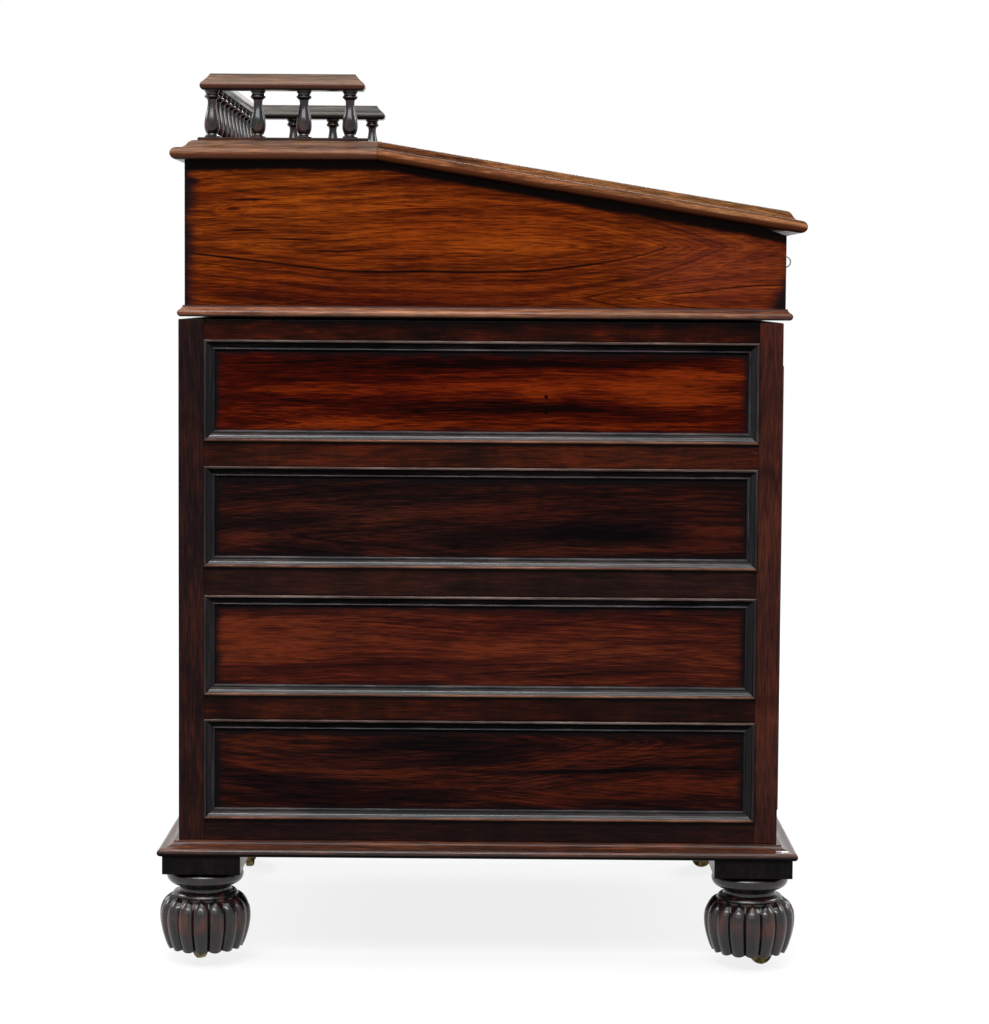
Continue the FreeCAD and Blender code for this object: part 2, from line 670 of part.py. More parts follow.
def make_drawers():
    """Four drawers that fill the case from side to side and open towards +X."""
    back_x = -HALF_CASE + FRONT_RECESS + FRONT_THICKNESS + DRAWER_END_SPACE
    field_x = HALF_CASE - FRONT_RECESS
    front_back_x = field_x - FRONT_THICKNESS
    for number in (1, 2, 3, 4):
        low, high = opening_z(number)
        face, lengths = panelled_front(1, number, FRONT_GAP)
        middle_u = (OPENING_U[0] + OPENING_U[1]) / 2
        knobs = []
        for offset in (-KNOB_SPACING / 2, KNOB_SPACING / 2):
            seat = Vector(field_x, BACK_Y - middle_u + offset, (low + high) / 2)
            face, fitted = fit_knob(face, seat, Vector(1, 0, 0), DRAWER_KNOB, FRONT_THICKNESS)
            knobs.append(fitted)
        keep("drawer_%d_front" % number, face, *lengths)
        keep("drawer_%d_knobs" % number, *knobs)

        wall = DRAWER_SIDE_THICKNESS
        u = (OPENING_U[0] + DRAWER_SIDE_GAP, OPENING_U[1] - DRAWER_SIDE_GAP)
        z = (low + RUN_GAP, high - FRONT_GAP - DRAWER_SIDE_DROP)
        x = (back_x, front_back_x)
        inner_u = (u[0] + wall, u[1] - wall)
        keep("drawer_%d_box" % number, board(x, (u[0], inner_u[0]), z))
        keep("drawer_%d_box" % number, board(x, (inner_u[1], u[1]), z))
        bottom = z[0] + DRAWER_BOTTOM_RAISE
        above = bottom + DRAWER_BOTTOM_THICKNESS
        keep("drawer_%d_box" % number, board(x, inner_u, (bottom, above)))
        keep("drawer_%d_box" % number, board((x[0], x[0] + wall), inner_u, (above, z[1] - 4.0)))


# ---- Writing box -------------------------------------------------------------------------------
def make_box_sides():
    """Sides shaped to the level top at the back and the lid's slope in front."""
    under = TOP_THICKNESS + RUN_GAP
    ease_u = BOX_FRONT_U - EDGE_EASE
    steps = [
        (BOX_BACK_U, BOX_BOTTOM),
        (BOX_FRONT_U, BOX_BOTTOM),
        (BOX_FRONT_U, BOX_FRONT_TOP),
        (ease_u, slope_level(ease_u, under)),
        (CREST_U, slope_level(CREST_U, under)),
        (CREST_U, TOP_BOTTOM),
        (BOX_BACK_U, TOP_BOTTOM),
    ]
    for name, x in (("box_left_side", -HALF_BOX), ("box_right_side", HALF_BOX - BOX_WALL)):
        face = outline(steps, lambda u, z: Vector(x, BACK_Y - u, z))
        side = face.extrude(Vector(BOX_WALL, 0, 0))
        if name == "box_right_side":
            u, z = pen_opening()
            side = side.cut(board((x - 1, x + BOX_WALL + 1), u, z))
        keep(name, side)


def make_box_ends():
    """Back and front boards and the bottom, between the sides."""
    inner_x = (-HALF_BOX + BOX_WALL, HALF_BOX - BOX_WALL)
    back_u = (BOX_BACK_U, BOX_BACK_U + BOX_WALL)
    front_u = (BOX_FRONT_U - BOX_WALL, BOX_FRONT_U)
    keep("box_back", board(inner_x, back_u, (BOX_BOTTOM, TOP_BOTTOM)))
    keep("box_bottom", board(inner_x, (back_u[1], front_u[0]), (BOX_BOTTOM, BOX_FLOOR)))
    front = board(inner_x, front_u, (BOX_BOTTOM, BOX_FRONT_TOP))
    keep("box_front", front.cut(keyhole(front_u)).cut(escutcheon_plate(1.0)))


def make_waist_moulding():
    """Mitred moulding round the foot of the box."""
    u = (BOX_BACK_U - WAIST_PROJECTION, BOX_FRONT_U + WAIST_PROJECTION)
    width = 2 * (HALF_BOX + WAIST_PROJECTION)
    centre = Vector(0, BACK_Y - (u[0] + u[1]) / 2, BOX_BOTTOM)
    for length in mitred_frame(width, u[1] - u[0], WAIST_EDGE, WAIST_PROJECTION):
        length.translate(centre)
        keep("waist_moulding", length)


def make_battens():
    """Dovetail battens under the box that run in the case top's grooves."""
    u = (BATTEN_START, BATTEN_START + BATTEN_LENGTH)
    for side in (-1, 1):
        keep("slide_battens", dovetail(side * BATTEN_OFFSET, u, 0.0, SLIDE_GAP))


# ---- Fixed top and gallery ---------------------------------------------------------------------
def hinge_places():
    for side in (-1, 1):
        yield side * HINGE_OFFSET - HINGE_LENGTH / 2, side * HINGE_OFFSET + HINGE_LENGTH / 2


def hinge_axis(x):
    return Vector(x, BACK_Y - CREST_U, TOP_SURFACE)


def knuckle_notch(x):
    """Room for one hinge's knuckles along the joint."""
    return rod(KNUCKLE_RADIUS + RUN_GAP, hinge_axis(x[0] - RUN_GAP), hinge_axis(x[1] + RUN_GAP))


def make_fixed_top():
    x = (-HALF_TOP, HALF_TOP)
    u = (BOX_BACK_U - TOP_OVERHANG, CREST_U)
    top = moulded_board(x, u, TOP_BOTTOM, TOP_EDGE, "LRB")
    for span in hinge_places():
        leaf_u = (CREST_U - HINGE_LEAF, CREST_U + 1)
        leaf = board(span, leaf_u, (TOP_SURFACE - HINGE_DEPTH, TOP_SURFACE + 1))
        top = top.cut(leaf.fuse(knuckle_notch(span)))
    keep("fixed_top", top)


def gallery_lines():
    """Centre lines of the spindles: x of the side rows and u of the back row and front spindle."""
    inset = STRIP_INSET + STRIP_WIDTH / 2
    front = CREST_U - STRIP_CREST_SPACE - SPINDLE_END_INSET
    return HALF_BOX - inset, BOX_BACK_U + inset, front


def u_shape(outer_x, u, width, z, edge, thickness):
    """Three mitred lengths round the back corners, as gallery strip or rail."""
    solids = []
    inner_x, inner_u = outer_x - width, u[0] + width
    side_plan = [(-outer_x, u[0]), (-outer_x, u[1]), (-inner_x, u[1]), (-inner_x, inner_u)]
    for side in (-1, 1):
        x = sorted((side * outer_x, side * inner_x))
        plan = [(-side * a, b) for a, b in side_plan]
        solids.append(moulded_board(x, u, z, edge, "LRF").common(plan_prism(plan, (z, z + thickness))))
    back = moulded_board((-outer_x, outer_x), (u[0], inner_u), z, edge, "BF")
    plan = [(-outer_x, u[0]), (outer_x, u[0]), (inner_x, inner_u), (-inner_x, inner_u)]
    solids.append(back.common(plan_prism(plan, (z, z + thickness))))
    return solids


def spindle():
    """One turned spindle on the Z axis: foot ring, bulb, tapering neck, upper ring and flared head."""
    height, bulb, ring = SPINDLE_HEIGHT, SPINDLE_BULB_RADIUS, SPINDLE_RING_RADIUS
    steps = [
        (0.0, 0.0),
        (ring, 0.0),
        (ring, 0.04 * height),
        (0.71 * bulb, 0.07 * height),
        [(bulb, 0.26 * height), (0.87 * bulb, 0.46 * height)],
        [(0.66 * bulb, 0.61 * height), (SPINDLE_NECK_RADIUS, 0.73 * height)],
        (1.1 * SPINDLE_NECK_RADIUS, 0.81 * height),
        (ring, 0.86 * height),
        (ring, 0.89 * height),
        (0.82 * ring, 0.92 * height),
        (ring, 0.98 * height),
        (ring, height),
        (0.0, height),
    ]
    return turned(steps, 0, BACK_Y, 0)


def make_gallery():
    """Raised strip, turned spindles and moulded rail on three sides of the fixed top."""
    strip_x = HALF_BOX - STRIP_INSET
    strip_u = (BOX_BACK_U + STRIP_INSET, CREST_U - STRIP_CREST_SPACE)
    keep("gallery_strip", *u_shape(strip_x, strip_u, STRIP_WIDTH, TOP_SURFACE, STRIP_EDGE, STRIP_THICKNESS))

    row_x, back_u, front_u = gallery_lines()
    places = []
    for index in range(SPINDLES_ACROSS_BACK):
        places.append((-row_x + 2 * row_x * index / (SPINDLES_ACROSS_BACK - 1), back_u))
    for index in range(1, SPINDLES_PER_SIDE):
        u = back_u + (front_u - back_u) * index / (SPINDLES_PER_SIDE - 1)
        places.extend(((-row_x, u), (row_x, u)))
    turning = spindle()
    for x, u in places:
        placed = turning.copy()
        placed.translate(Vector(x, BACK_Y - u, STRIP_TOP))
        keep("gallery_spindles", placed)

    rail_x = row_x + RAIL_WIDTH / 2
    rail_u = (back_u - RAIL_WIDTH / 2, front_u + RAIL_END_REACH)
    keep("gallery_rail", *u_shape(rail_x, rail_u, RAIL_WIDTH, RAIL_BOTTOM, RAIL_EDGE, RAIL_THICKNESS))


# ---- Lid ---------------------------------------------------------------------------------------
def sloped(shape):
    """Turn a piece made level with the fixed top down to the lid's slope, about the hinge line."""
    shape.rotate(hinge_axis(0), Vector(1, 0, 0), LID_SLOPE)
    return shape


def lid_length():
    """Length of the lid's board along its slope, from the hinge line to the nose."""
    slope = math.radians(LID_SLOPE)
    nose_centre = BOX_FRONT_U + LID_OVERHANG - NOSE + (TOP_THICKNESS - NOSE) * math.sin(slope)
    return (nose_centre - CREST_U) / math.cos(slope) + NOSE


def make_lid():
    """Lid board with moulded sides and front, its inset writing leather and the lock's keep."""
    u = (CREST_U - TOP_THICKNESS, CREST_U + lid_length())
    lid = sloped(moulded_board((-HALF_TOP, HALF_TOP), u, TOP_BOTTOM, TOP_EDGE, "LRF"))
    behind = board((-BIG, BIG), (CREST_U - BIG, CREST_U + RUN_GAP), (0.0, BIG))
    above = board((-BIG, BIG), (CREST_U, CREST_U + BIG), (TOP_SURFACE, TOP_SURFACE + BIG))
    lid = lid.cut(behind).cut(above)

    half = HALF_TOP - TOP_ARRIS - LEATHER_MARGIN
    leather_u = (CREST_U + LEATHER_MARGIN_BACK, u[1] - TOP_ARRIS - LEATHER_MARGIN)
    leather = sloped(board((-half, half), leather_u, (TOP_SURFACE - LEATHER_THICKNESS, TOP_SURFACE)))
    lid = lid.cut(leather)
    for span in hinge_places():
        leaf_u = (CREST_U, CREST_U + RUN_GAP + HINGE_LEAF)
        leaf = board(span, leaf_u, (TOP_SURFACE - HINGE_DEPTH, TOP_SURFACE + 1))
        lid = lid.cut(leaf.fuse(knuckle_notch(span)))

    bolt_u = bolt_depths()
    keep_u = (bolt_u[0] - (KEEP_DEPTH - BOLT_THICKNESS) / 2, bolt_u[1] + (KEEP_DEPTH - BOLT_THICKNESS) / 2)
    keep_z = (TOP_BOTTOM, TOP_BOTTOM + KEEP_THICKNESS)
    plate = sloped(board((-KEEP_WIDTH / 2, KEEP_WIDTH / 2), keep_u, keep_z))
    room = 3.0
    socket = board(
        (-BOLT_WIDTH / 2 - room, BOLT_WIDTH / 2 + room),
        (bolt_u[0] - room, bolt_u[1] + room),
        (BOX_FRONT_TOP, BOX_FRONT_TOP + BOLT_THROW + room),
    )
    keep("lid_board", lid.cut(plate.fuse(socket)))
    keep("writing_leather", leather)
    keep("lid_lock_keep", plate.cut(socket))


def make_hinges():
    """Butt hinges: knuckles on the crest line, fixed leaf behind and lid leaf in front."""
    low = TOP_SURFACE - HINGE_DEPTH
    shoulder = TOP_SURFACE - KNUCKLE_RADIUS - RUN_GAP
    fixed_u = (CREST_U - HINGE_LEAF, CREST_U)
    lid_u = (CREST_U + RUN_GAP, CREST_U + RUN_GAP + HINGE_LEAF)
    pitch = (HINGE_LENGTH + KNUCKLE_GAP) / KNUCKLE_COUNT
    for span in hinge_places():
        pin = rod(HINGE_PIN_RADIUS, hinge_axis(span[0]), hinge_axis(span[1]))
        fixed = [board(span, fixed_u, (low, shoulder)), pin]
        moving = [board(span, lid_u, (low, shoulder))]
        for index in range(KNUCKLE_COUNT):
            start = span[0] + index * pitch
            end = start + pitch - KNUCKLE_GAP
            barrel = rod(KNUCKLE_RADIUS, hinge_axis(start), hinge_axis(end))
            if index % 2 == 0:
                fixed.extend((barrel, board((start, end), fixed_u, (shoulder - 1.0, TOP_SURFACE))))
            else:
                neck = board((start, end), lid_u, (shoulder - 1.0, TOP_SURFACE))
                bore = rod(HINGE_PIN_RADIUS + SHAFT_GAP, hinge_axis(start - 1), hinge_axis(end + 1))
                moving.append(barrel.fuse(neck).cut(bore))
        keep("top_hinge_leaves", joined(fixed))
        keep("lid_hinge_leaves", joined(moving))


# ---- Lock and key ------------------------------------------------------------------------------
def key_point(u):
    return Vector(0, BACK_Y - u, KEY_Z)


def keyhole(u):
    """The hole for the key's shank and bit, right through between two depths."""
    hole = rod(KEY_SHANK_RADIUS + SHAFT_GAP, key_point(u[0] - 1), key_point(u[1] + 1))
    slot_z = (KEY_Z - KEY_BIT_RADIUS - KEY_SLOT_ROOM, KEY_Z)
    return hole.fuse(board((-KEY_SLOT / 2, KEY_SLOT / 2), (u[0] - 1, u[1] + 1), slot_z))


def escutcheon_plate(proud):
    """The plate let into the box front, or with proud the seat cut for it."""
    width, drop, rise, thickness = ESCUTCHEON
    u = (BOX_FRONT_U - thickness, BOX_FRONT_U + proud)
    return board((-width / 2, width / 2), u, (KEY_Z - drop, KEY_Z + rise))


def bolt_depths():
    """Depths of the bolt's two faces, just behind the box front."""
    face = BOX_FRONT_U - BOX_WALL - RUN_GAP
    return face - BOLT_THICKNESS, face


def make_lock():
    """Lock case on the inside of the box front, with its bolt, escutcheon and key."""
    board_u = BOX_FRONT_U - BOX_WALL
    half = LOCK_WIDTH / 2
    z = (BOX_FRONT_TOP - LOCK_HEIGHT, BOX_FRONT_TOP)
    inner_u = board_u - LOCK_DEPTH + LOCK_WALL
    case = board((-half, half), (board_u - LOCK_DEPTH, board_u), z)
    hollow_z = (z[0] + LOCK_WALL, z[1] - LOCK_WALL)
    case = case.cut(board((-half + LOCK_WALL, half - LOCK_WALL), (inner_u, board_u), hollow_z))
    bolt_u = bolt_depths()
    mouth_half = BOLT_WIDTH / 2 + RUN_GAP
    mouth_z = (z[1] - 2 * LOCK_WALL, z[1] + 1)
    mouth = board((-mouth_half, mouth_half), (bolt_u[0] - RUN_GAP, board_u), mouth_z)
    keep("lock_case", case.cut(mouth))
    keep("lock_escutcheon", escutcheon_plate(0.0).cut(keyhole((board_u, BOX_FRONT_U))))

    bolt_z = (KEY_Z - KEY_BIT_RADIUS - BOLT_FOOT, z[1] - BOLT_SINK)
    bolt = board((-BOLT_WIDTH / 2, BOLT_WIDTH / 2), bolt_u, bolt_z)
    way_half = KEY_SHANK_RADIUS + BOLT_WAY_ROOM[0]
    way_top = KEY_Z + way_half + BOLT_WAY_ROOM[1]
    way = board((-way_half, way_half), (bolt_u[0] - 1, bolt_u[1] + 1), (0.0, way_top))
    keep("lock_bolt", bolt.cut(way))

    tip_u = inner_u + RUN_GAP
    bow_u = BOX_FRONT_U + KEY_REACH - KEY_BOW_RADIUS
    shank = rod(KEY_SHANK_RADIUS, key_point(tip_u), key_point(bow_u - KEY_BOW_RADIUS + KEY_BOW_RIM))
    rise, collar_start, collar_length = KEY_COLLAR
    collar_u = BOX_FRONT_U + collar_start
    collar = rod(KEY_SHANK_RADIUS + rise, key_point(collar_u), key_point(collar_u + collar_length))
    bit_z = (KEY_Z - KEY_BIT_RADIUS, KEY_Z - KEY_SHANK_RADIUS / 2)
    bit_half = KEY_BIT_THICKNESS / 2
    bit = board((-bit_half, bit_half), (tip_u, bolt_u[0] - RUN_GAP), bit_z)
    wire = KEY_BOW_RIM / 2
    bow = Part.makeTorus(KEY_BOW_RADIUS - wire, wire, key_point(bow_u), Vector(1, 0, 0))
    keep("key", joined([shank, collar, bit, bow]))


# ---- Fitted interior ---------------------------------------------------------------------------
def bank_levels():
    """Levels inside the box of the bank's shelf top and of its head board's upper face."""
    return BOX_FLOOR + BANK_SHELF_RISE, TOP_BOTTOM - BANK_HEAD_SPACE


def pen_opening():
    """Depths and levels of the opening for the pen drawer in the right-hand side."""
    shelf, head = bank_levels()
    start = BOX_BACK_U + BOX_WALL + PEN_DRAWER_START
    return (start, start + PEN_DRAWER_WIDTH + 2 * RUN_GAP), (shelf, head - BANK_BOARD)


def make_bank():
    """Boards of the drawer bank under the fixed top, with a dummy front hiding the pen drawer."""
    shelf, head = bank_levels()
    inner = HALF_BOX - BOX_WALL
    u = (BOX_BACK_U + BOX_WALL, BOX_BACK_U + BOX_WALL + BANK_DEPTH)
    wall = BANK_BOARD
    keep("interior_bank", board((-inner, -inner + wall), u, (BOX_FLOOR, head)))
    keep("interior_bank", board((-wall / 2, wall / 2), u, (BOX_FLOOR, head - wall)))
    keep("interior_bank", board((-inner + wall, inner), u, (head - wall, head)))
    keep("interior_bank", board((-inner + wall, -wall / 2), u, (shelf - wall, shelf)))
    keep("interior_bank", board((wall / 2, inner), u, (shelf - wall, shelf)))
    pen_u = pen_opening()[0]
    keep("interior_bank", board((wall / 2, inner), (u[0], pen_u[0]), (shelf, head - wall)))
    keep("interior_bank", board((wall / 2, inner), (pen_u[1], pen_u[1] + wall), (shelf, head - wall)))
    dummy = board((wall / 2, inner), (u[1] - wall, u[1]), (shelf, head - wall))
    seat = Vector((wall / 2 + inner) / 2, BACK_Y - u[1], (shelf + head - wall) / 2)
    keep("interior_bank", *fit_knob(dummy, seat, Vector(0, -1, 0), SMALL_KNOB, wall))


def make_small_drawers():
    """Two shallow drawers at the left of the bank, which open towards the sitter."""
    shelf, head = bank_levels()
    wall = SMALL_DRAWER_WALL
    x = (-HALF_BOX + BOX_WALL + BANK_BOARD + SMALL_DRAWER_GAP, -BANK_BOARD / 2 - SMALL_DRAWER_GAP)
    front_u = BOX_BACK_U + BOX_WALL + BANK_DEPTH
    u = (BOX_BACK_U + BOX_WALL + BANK_BOARD, front_u)
    inner_u = (u[0] + wall, front_u - wall - 3.0)
    spaces = (("upper", shelf, head - BANK_BOARD), ("lower", BOX_FLOOR, shelf - BANK_BOARD))
    for name, space_low, space_high in spaces:
        low, high = space_low + RUN_GAP, space_high - SMALL_DRAWER_GAP
        hollow = board((x[0] + wall, x[1] - wall), inner_u, (low + SMALL_DRAWER_FLOOR, high + 1))
        lowered = board((x[0] - 1, x[1] + 1), (u[0] - 1, inner_u[1]), (high - SMALL_DRAWER_DROP, high + 1))
        drawer = board(x, u, (low, high)).cut(hollow.fuse(lowered))
        seat = Vector((x[0] + x[1]) / 2, BACK_Y - front_u, (low + high) / 2)
        keep("interior_drawer_" + name, *fit_knob(drawer, seat, Vector(0, -1, 0), SMALL_KNOB, wall))


def make_pen_drawer():
    """Pen drawer that slides out of the box's right-hand side, with two inkwells in its outer end."""
    opening_u, opening = pen_opening()
    u = (opening_u[0] + RUN_GAP, opening_u[1] - RUN_GAP)
    z = (opening[0] + RUN_GAP, opening[1] - RUN_GAP)
    x = (BANK_BOARD / 2 + PEN_DRAWER_END_SPACE, HALF_BOX)
    wall = SMALL_DRAWER_WALL
    inner_u = (u[0] + wall, u[1] - wall)
    hollow_z = (z[0] + SMALL_DRAWER_FLOOR, z[1] + 1)
    well_x = (x[1] - PEN_FRONT_THICKNESS - INKWELL_SIDE - 1.0, x[1] - PEN_FRONT_THICKNESS)
    tray = board((x[0] + wall, well_x[0] - wall), inner_u, hollow_z)
    wells = board(well_x, inner_u, hollow_z)
    lowered = board((x[0] - 1, well_x[1]), (u[0] - 1, u[1] + 1), (z[1] - SMALL_DRAWER_DROP, z[1] + 1))
    seat = Vector(x[1], BACK_Y - (u[0] + u[1]) / 2, (z[0] + z[1]) / 2)
    drawer = board(x, u, z).cut(tray.fuse([wells, lowered]))
    keep("pen_drawer", *fit_knob(drawer, seat, Vector(1, 0, 0), SMALL_KNOB, PEN_FRONT_THICKNESS * 2 / 3))

    middle_x = (well_x[0] + well_x[1]) / 2
    half = INKWELL_SIDE / 2
    neck_z = hollow_z[0] + INKWELL_SHARE * (opening[1] - opening[0]) - INKWELL_NECK
    for end_u in (inner_u[0] + half + INKWELL_ROOM, inner_u[1] - half - INKWELL_ROOM):
        x, u = (middle_x - half, middle_x + half), (end_u - half, end_u + half)
        glass = board(x, u, (hollow_z[0], neck_z))
        seat = Vector(middle_x, BACK_Y - end_u, neck_z)
        neck = Part.makeCylinder(INKWELL_NECK_SHARE * half, INKWELL_NECK, seat)
        keep("inkwells", joined([glass, neck]))


# ---- Build -------------------------------------------------------------------------------------
make_plinth()
make_side_frames()
make_end_panels()
make_case_top()
make_drawer_supports()
make_feet()
make_castors()
make_dummy_fronts()
make_drawers()
make_box_sides()
make_box_ends()
make_waist_moulding()
make_battens()
make_fixed_top()
make_gallery()
make_lid()
make_hinges()
make_lock()
make_bank()
make_small_drawers()
make_pen_drawer()

os.makedirs("parts", exist_ok=True)
for node, solids in PIECES.items():
    shape = solids[0] if len(solids) == 1 else Part.makeCompound(solids)
    shape.exportStep("parts/" + node + ".step")
    print(node, len(solids), "valid" if shape.isValid() else "NOT VALID")
print(len(PIECES), "nodes")
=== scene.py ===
"""A davenport desk in polished rosewood: the looks of every piece, in metres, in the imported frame."""

import math

import bmesh
import bpy
import numpy as np
from mathutils import Matrix, Vector


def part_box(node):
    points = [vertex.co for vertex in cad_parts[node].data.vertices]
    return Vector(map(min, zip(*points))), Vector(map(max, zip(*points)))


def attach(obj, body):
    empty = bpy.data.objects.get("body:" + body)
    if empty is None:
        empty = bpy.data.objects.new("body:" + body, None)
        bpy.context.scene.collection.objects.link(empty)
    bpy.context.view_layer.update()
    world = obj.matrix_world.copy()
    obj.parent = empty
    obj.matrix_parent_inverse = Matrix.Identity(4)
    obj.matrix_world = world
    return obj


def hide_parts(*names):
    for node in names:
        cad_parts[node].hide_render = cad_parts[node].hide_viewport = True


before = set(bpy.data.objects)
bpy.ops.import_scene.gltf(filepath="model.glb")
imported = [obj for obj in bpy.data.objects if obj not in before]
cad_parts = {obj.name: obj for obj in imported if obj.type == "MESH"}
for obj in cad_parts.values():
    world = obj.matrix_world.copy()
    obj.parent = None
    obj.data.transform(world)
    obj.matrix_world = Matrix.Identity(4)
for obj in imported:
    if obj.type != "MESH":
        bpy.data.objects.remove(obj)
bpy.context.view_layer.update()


# ---- Room: camera, lamps, world and floor ----
# A plain pale studio. On the left a wide lamp lights the side and a long narrow one draws lines of
# light along the mouldings; one hangs overhead, and one at the back, one at the front and one on
# the right keep every side at a plain level.
LENS = 91.41
CAMERA_PLACE = (-2.8740, -0.0208, 0.6927)
YAW, PITCH, ROLL = 0.0027021, 0.0657575, 0.0070147
SHIFT_Y = -50.17 / 1024


def linked(name, data):
    """A new object of that data, in the scene."""
    thing = bpy.data.objects.new(name, data)
    bpy.context.scene.collection.objects.link(thing)
    return thing


ahead = Vector((math.cos(PITCH) * math.cos(YAW), math.cos(PITCH) * math.sin(YAW), -math.sin(PITCH)))
level_right = ahead.cross(Vector((0, 0, 1))).normalized()
level_up = level_right.cross(ahead)
right = math.cos(ROLL) * level_right + math.sin(ROLL) * level_up
upward = math.cos(ROLL) * level_up - math.sin(ROLL) * level_right
camera = linked("camera", bpy.data.cameras.new("camera"))
camera.data.lens = LENS
camera.data.sensor_width = 36.0
camera.data.shift_y = SHIFT_Y
camera.data.clip_start = 0.05
bearings = Matrix((right, upward, -ahead)).transposed()
camera.matrix_world = Matrix.Translation(CAMERA_PLACE) @ bearings.to_4x4()
bpy.context.scene.camera = camera
bpy.context.scene.view_settings.view_transform = "Standard"

WARM, COOL = (1.0, 0.98, 0.95), (0.93, 0.97, 1.0)
LAMPS_AIM = Vector((0, 0, 0.5))
# Each lamp's place, its width and height, the radiance of its face, and its tint.
LAMPS = {
    "lamp_key": ((-2.5, 0.35, 2.3), (3.2, 0.7), 7.5, COOL),
    "lamp_line": ((-2.4, 0.5, 2.75), (1.5, 0.25), 36.0, COOL),
    "lamp_overhead": ((-0.5, 0.0, 3.0), (2.0, 2.0), 4.5, COOL),
    "lamp_back": ((0.5, 2.8, 2.1), (1.0, 1.0), 12.0, WARM),
    "lamp_front": ((0.5, -2.8, 2.1), (1.0, 1.0), 12.0, WARM),
    "lamp_right": ((2.5, -0.4, 2.4), (1.0, 1.0), 20.0, COOL),
}
for name, (place, (width, height), radiance, tint) in LAMPS.items():
    lamp = bpy.data.lights.new(name, "AREA")
    lamp.shape = "RECTANGLE"
    lamp.size, lamp.size_y = width, height
    lamp.energy = radiance * width * height * math.pi
    lamp.color = tint
    turn = (LAMPS_AIM - Vector(place)).to_track_quat("-Z", "Y")
    linked(name, lamp).matrix_world = Matrix.Translation(place) @ turn.to_matrix().to_4x4()


class Finish:
    """One material's nodes. put() adds a node, sets or links its inputs, and gives one output."""

    def __init__(self, name, tree=None):
        if tree is None:
            self.material = bpy.data.materials.new(name)
            self.material.use_nodes = True
            tree = self.material.node_tree
        self.tree = tree
        self.tree.nodes.clear()

    def put(self, kind, inputs=(), output=0, **settings):
        node = self.tree.nodes.new("ShaderNode" + kind)
        for key, value in settings.items():
            setattr(node, key, value)
        for key, value in dict(inputs).items():
            if isinstance(value, bpy.types.NodeSocket):
                self.tree.links.new(value, node.inputs[key])
            else:
                node.inputs[key].default_value = value
        return node.outputs[output] if node.outputs else None

    def reckon(self, operation, *values):
        return self.put("Math", dict(enumerate(values)), operation=operation)

    def apart(self, first, second):
        """How far two values are apart."""
        return self.reckon("ABSOLUTE", self.reckon("SUBTRACT", first, second))

    def vector(self, operation, *values, output=0):
        return self.put("VectorMath", dict(enumerate(values)), output, operation=operation)

    def length(self, vector):
        return self.vector("LENGTH", vector, output=1)

    def part(self, vector, axis=0):
        return self.put("SeparateXYZ", {0: vector}, axis)

    def object_place(self):
        return self.put("TexCoord", (), "Object")

    def seen_by(self, *rays):
        """1 for rays of those kinds and 0 for the rest."""
        kinds = [self.put("LightPath", (), "Is %s Ray" % ray) for ray in rays]
        share = kinds[0]
        for kind in kinds[1:]:
            share = self.reckon("MAXIMUM", share, kind)
        return share

    def placed(self, coordinates, scale=(1, 1, 1), shift=(0, 0, 0), turn=(0, 0, 0)):
        """Coordinates scaled, then turned, then shifted."""
        inputs = {"Vector": coordinates, "Scale": scale, "Location": shift, "Rotation": turn}
        return self.put("Mapping", inputs)

    def noise(self, coordinates, scale, detail=2.0, roughness=0.5, output=0):
        inputs = {"Vector": coordinates, "Scale": scale, "Detail": detail, "Roughness": roughness}
        return self.put("TexNoise", inputs, output)

    def drawn_out(self, coordinates, scale, detail=2.0, roughness=0.5, output=0, **placing):
        """A noise with a scale of its own along each axis."""
        return self.noise(self.placed(coordinates, scale, **placing), 1.0, detail, roughness, output)

    def eased(self, value, start, end, low=0.0, high=1.0):
        """value from start to end becomes low to high along a smooth step."""
        inputs = {0: value, 1: start, 2: end, 3: low, 4: high}
        return self.put("MapRange", inputs, interpolation_type="SMOOTHSTEP")

    def blended(self, share, first, second, how="MIX"):
        inputs = {0: share, 6: first, 7: second}
        return self.put("Mix", inputs, 2, data_type="RGBA", blend_type=how)

    def ramp(self, value, positions, tones):
        """The tones at those positions, blended in between."""
        colours = self.put("ValToRGB", {0: value})
        elements = colours.node.color_ramp.elements
        for index, (position, shade) in enumerate(zip(positions, tones)):
            element = elements[index] if index < 2 else elements.new(position)
            element.position, element.color = position, tone(*shade)
        return colours

    def surface(self, shader):
        self.put("OutputMaterial", {"Surface": shader})
        return self.material

    def coat(self, colour, rough, height, relief, specular=0.5, metallic=0.0):
        """The closing surface; relief is the strength and the distance of its bump."""
        bump = self.put("Bump", {"Strength": relief[0], "Distance": relief[1], "Height": height})
        inputs = {"Base Color": colour, "Roughness": rough, "Normal": bump}
        inputs.update({"Specular IOR Level": specular, "Metallic": metallic})
        return self.surface(self.put("BsdfPrincipled", inputs))


def tone(red, green, blue):
    """An 8-bit colour as a linear one: ((c + 0.055) / 1.055) ** 2.4, straight near black."""
    share = np.array((red, green, blue)) / 255
    linear = np.where(share <= 0.04045, share / 12.92, ((share + 0.055) / 1.055) ** 2.4)
    return (*linear.tolist(), 1.0)


SKY_ON_PIECES = 0.28
world = bpy.data.worlds.new("studio")
bpy.context.scene.world = world
world.use_nodes = True
sky = Finish("studio", world.node_tree)
strength = sky.eased(sky.seen_by("Camera", "Glossy", "Transmission"), 0.0, 1.0, SKY_ON_PIECES, 1.0)
background = sky.put("Background", {"Color": (1, 1, 1, 1), "Strength": strength})
sky.put("OutputWorld", {"Surface": background})

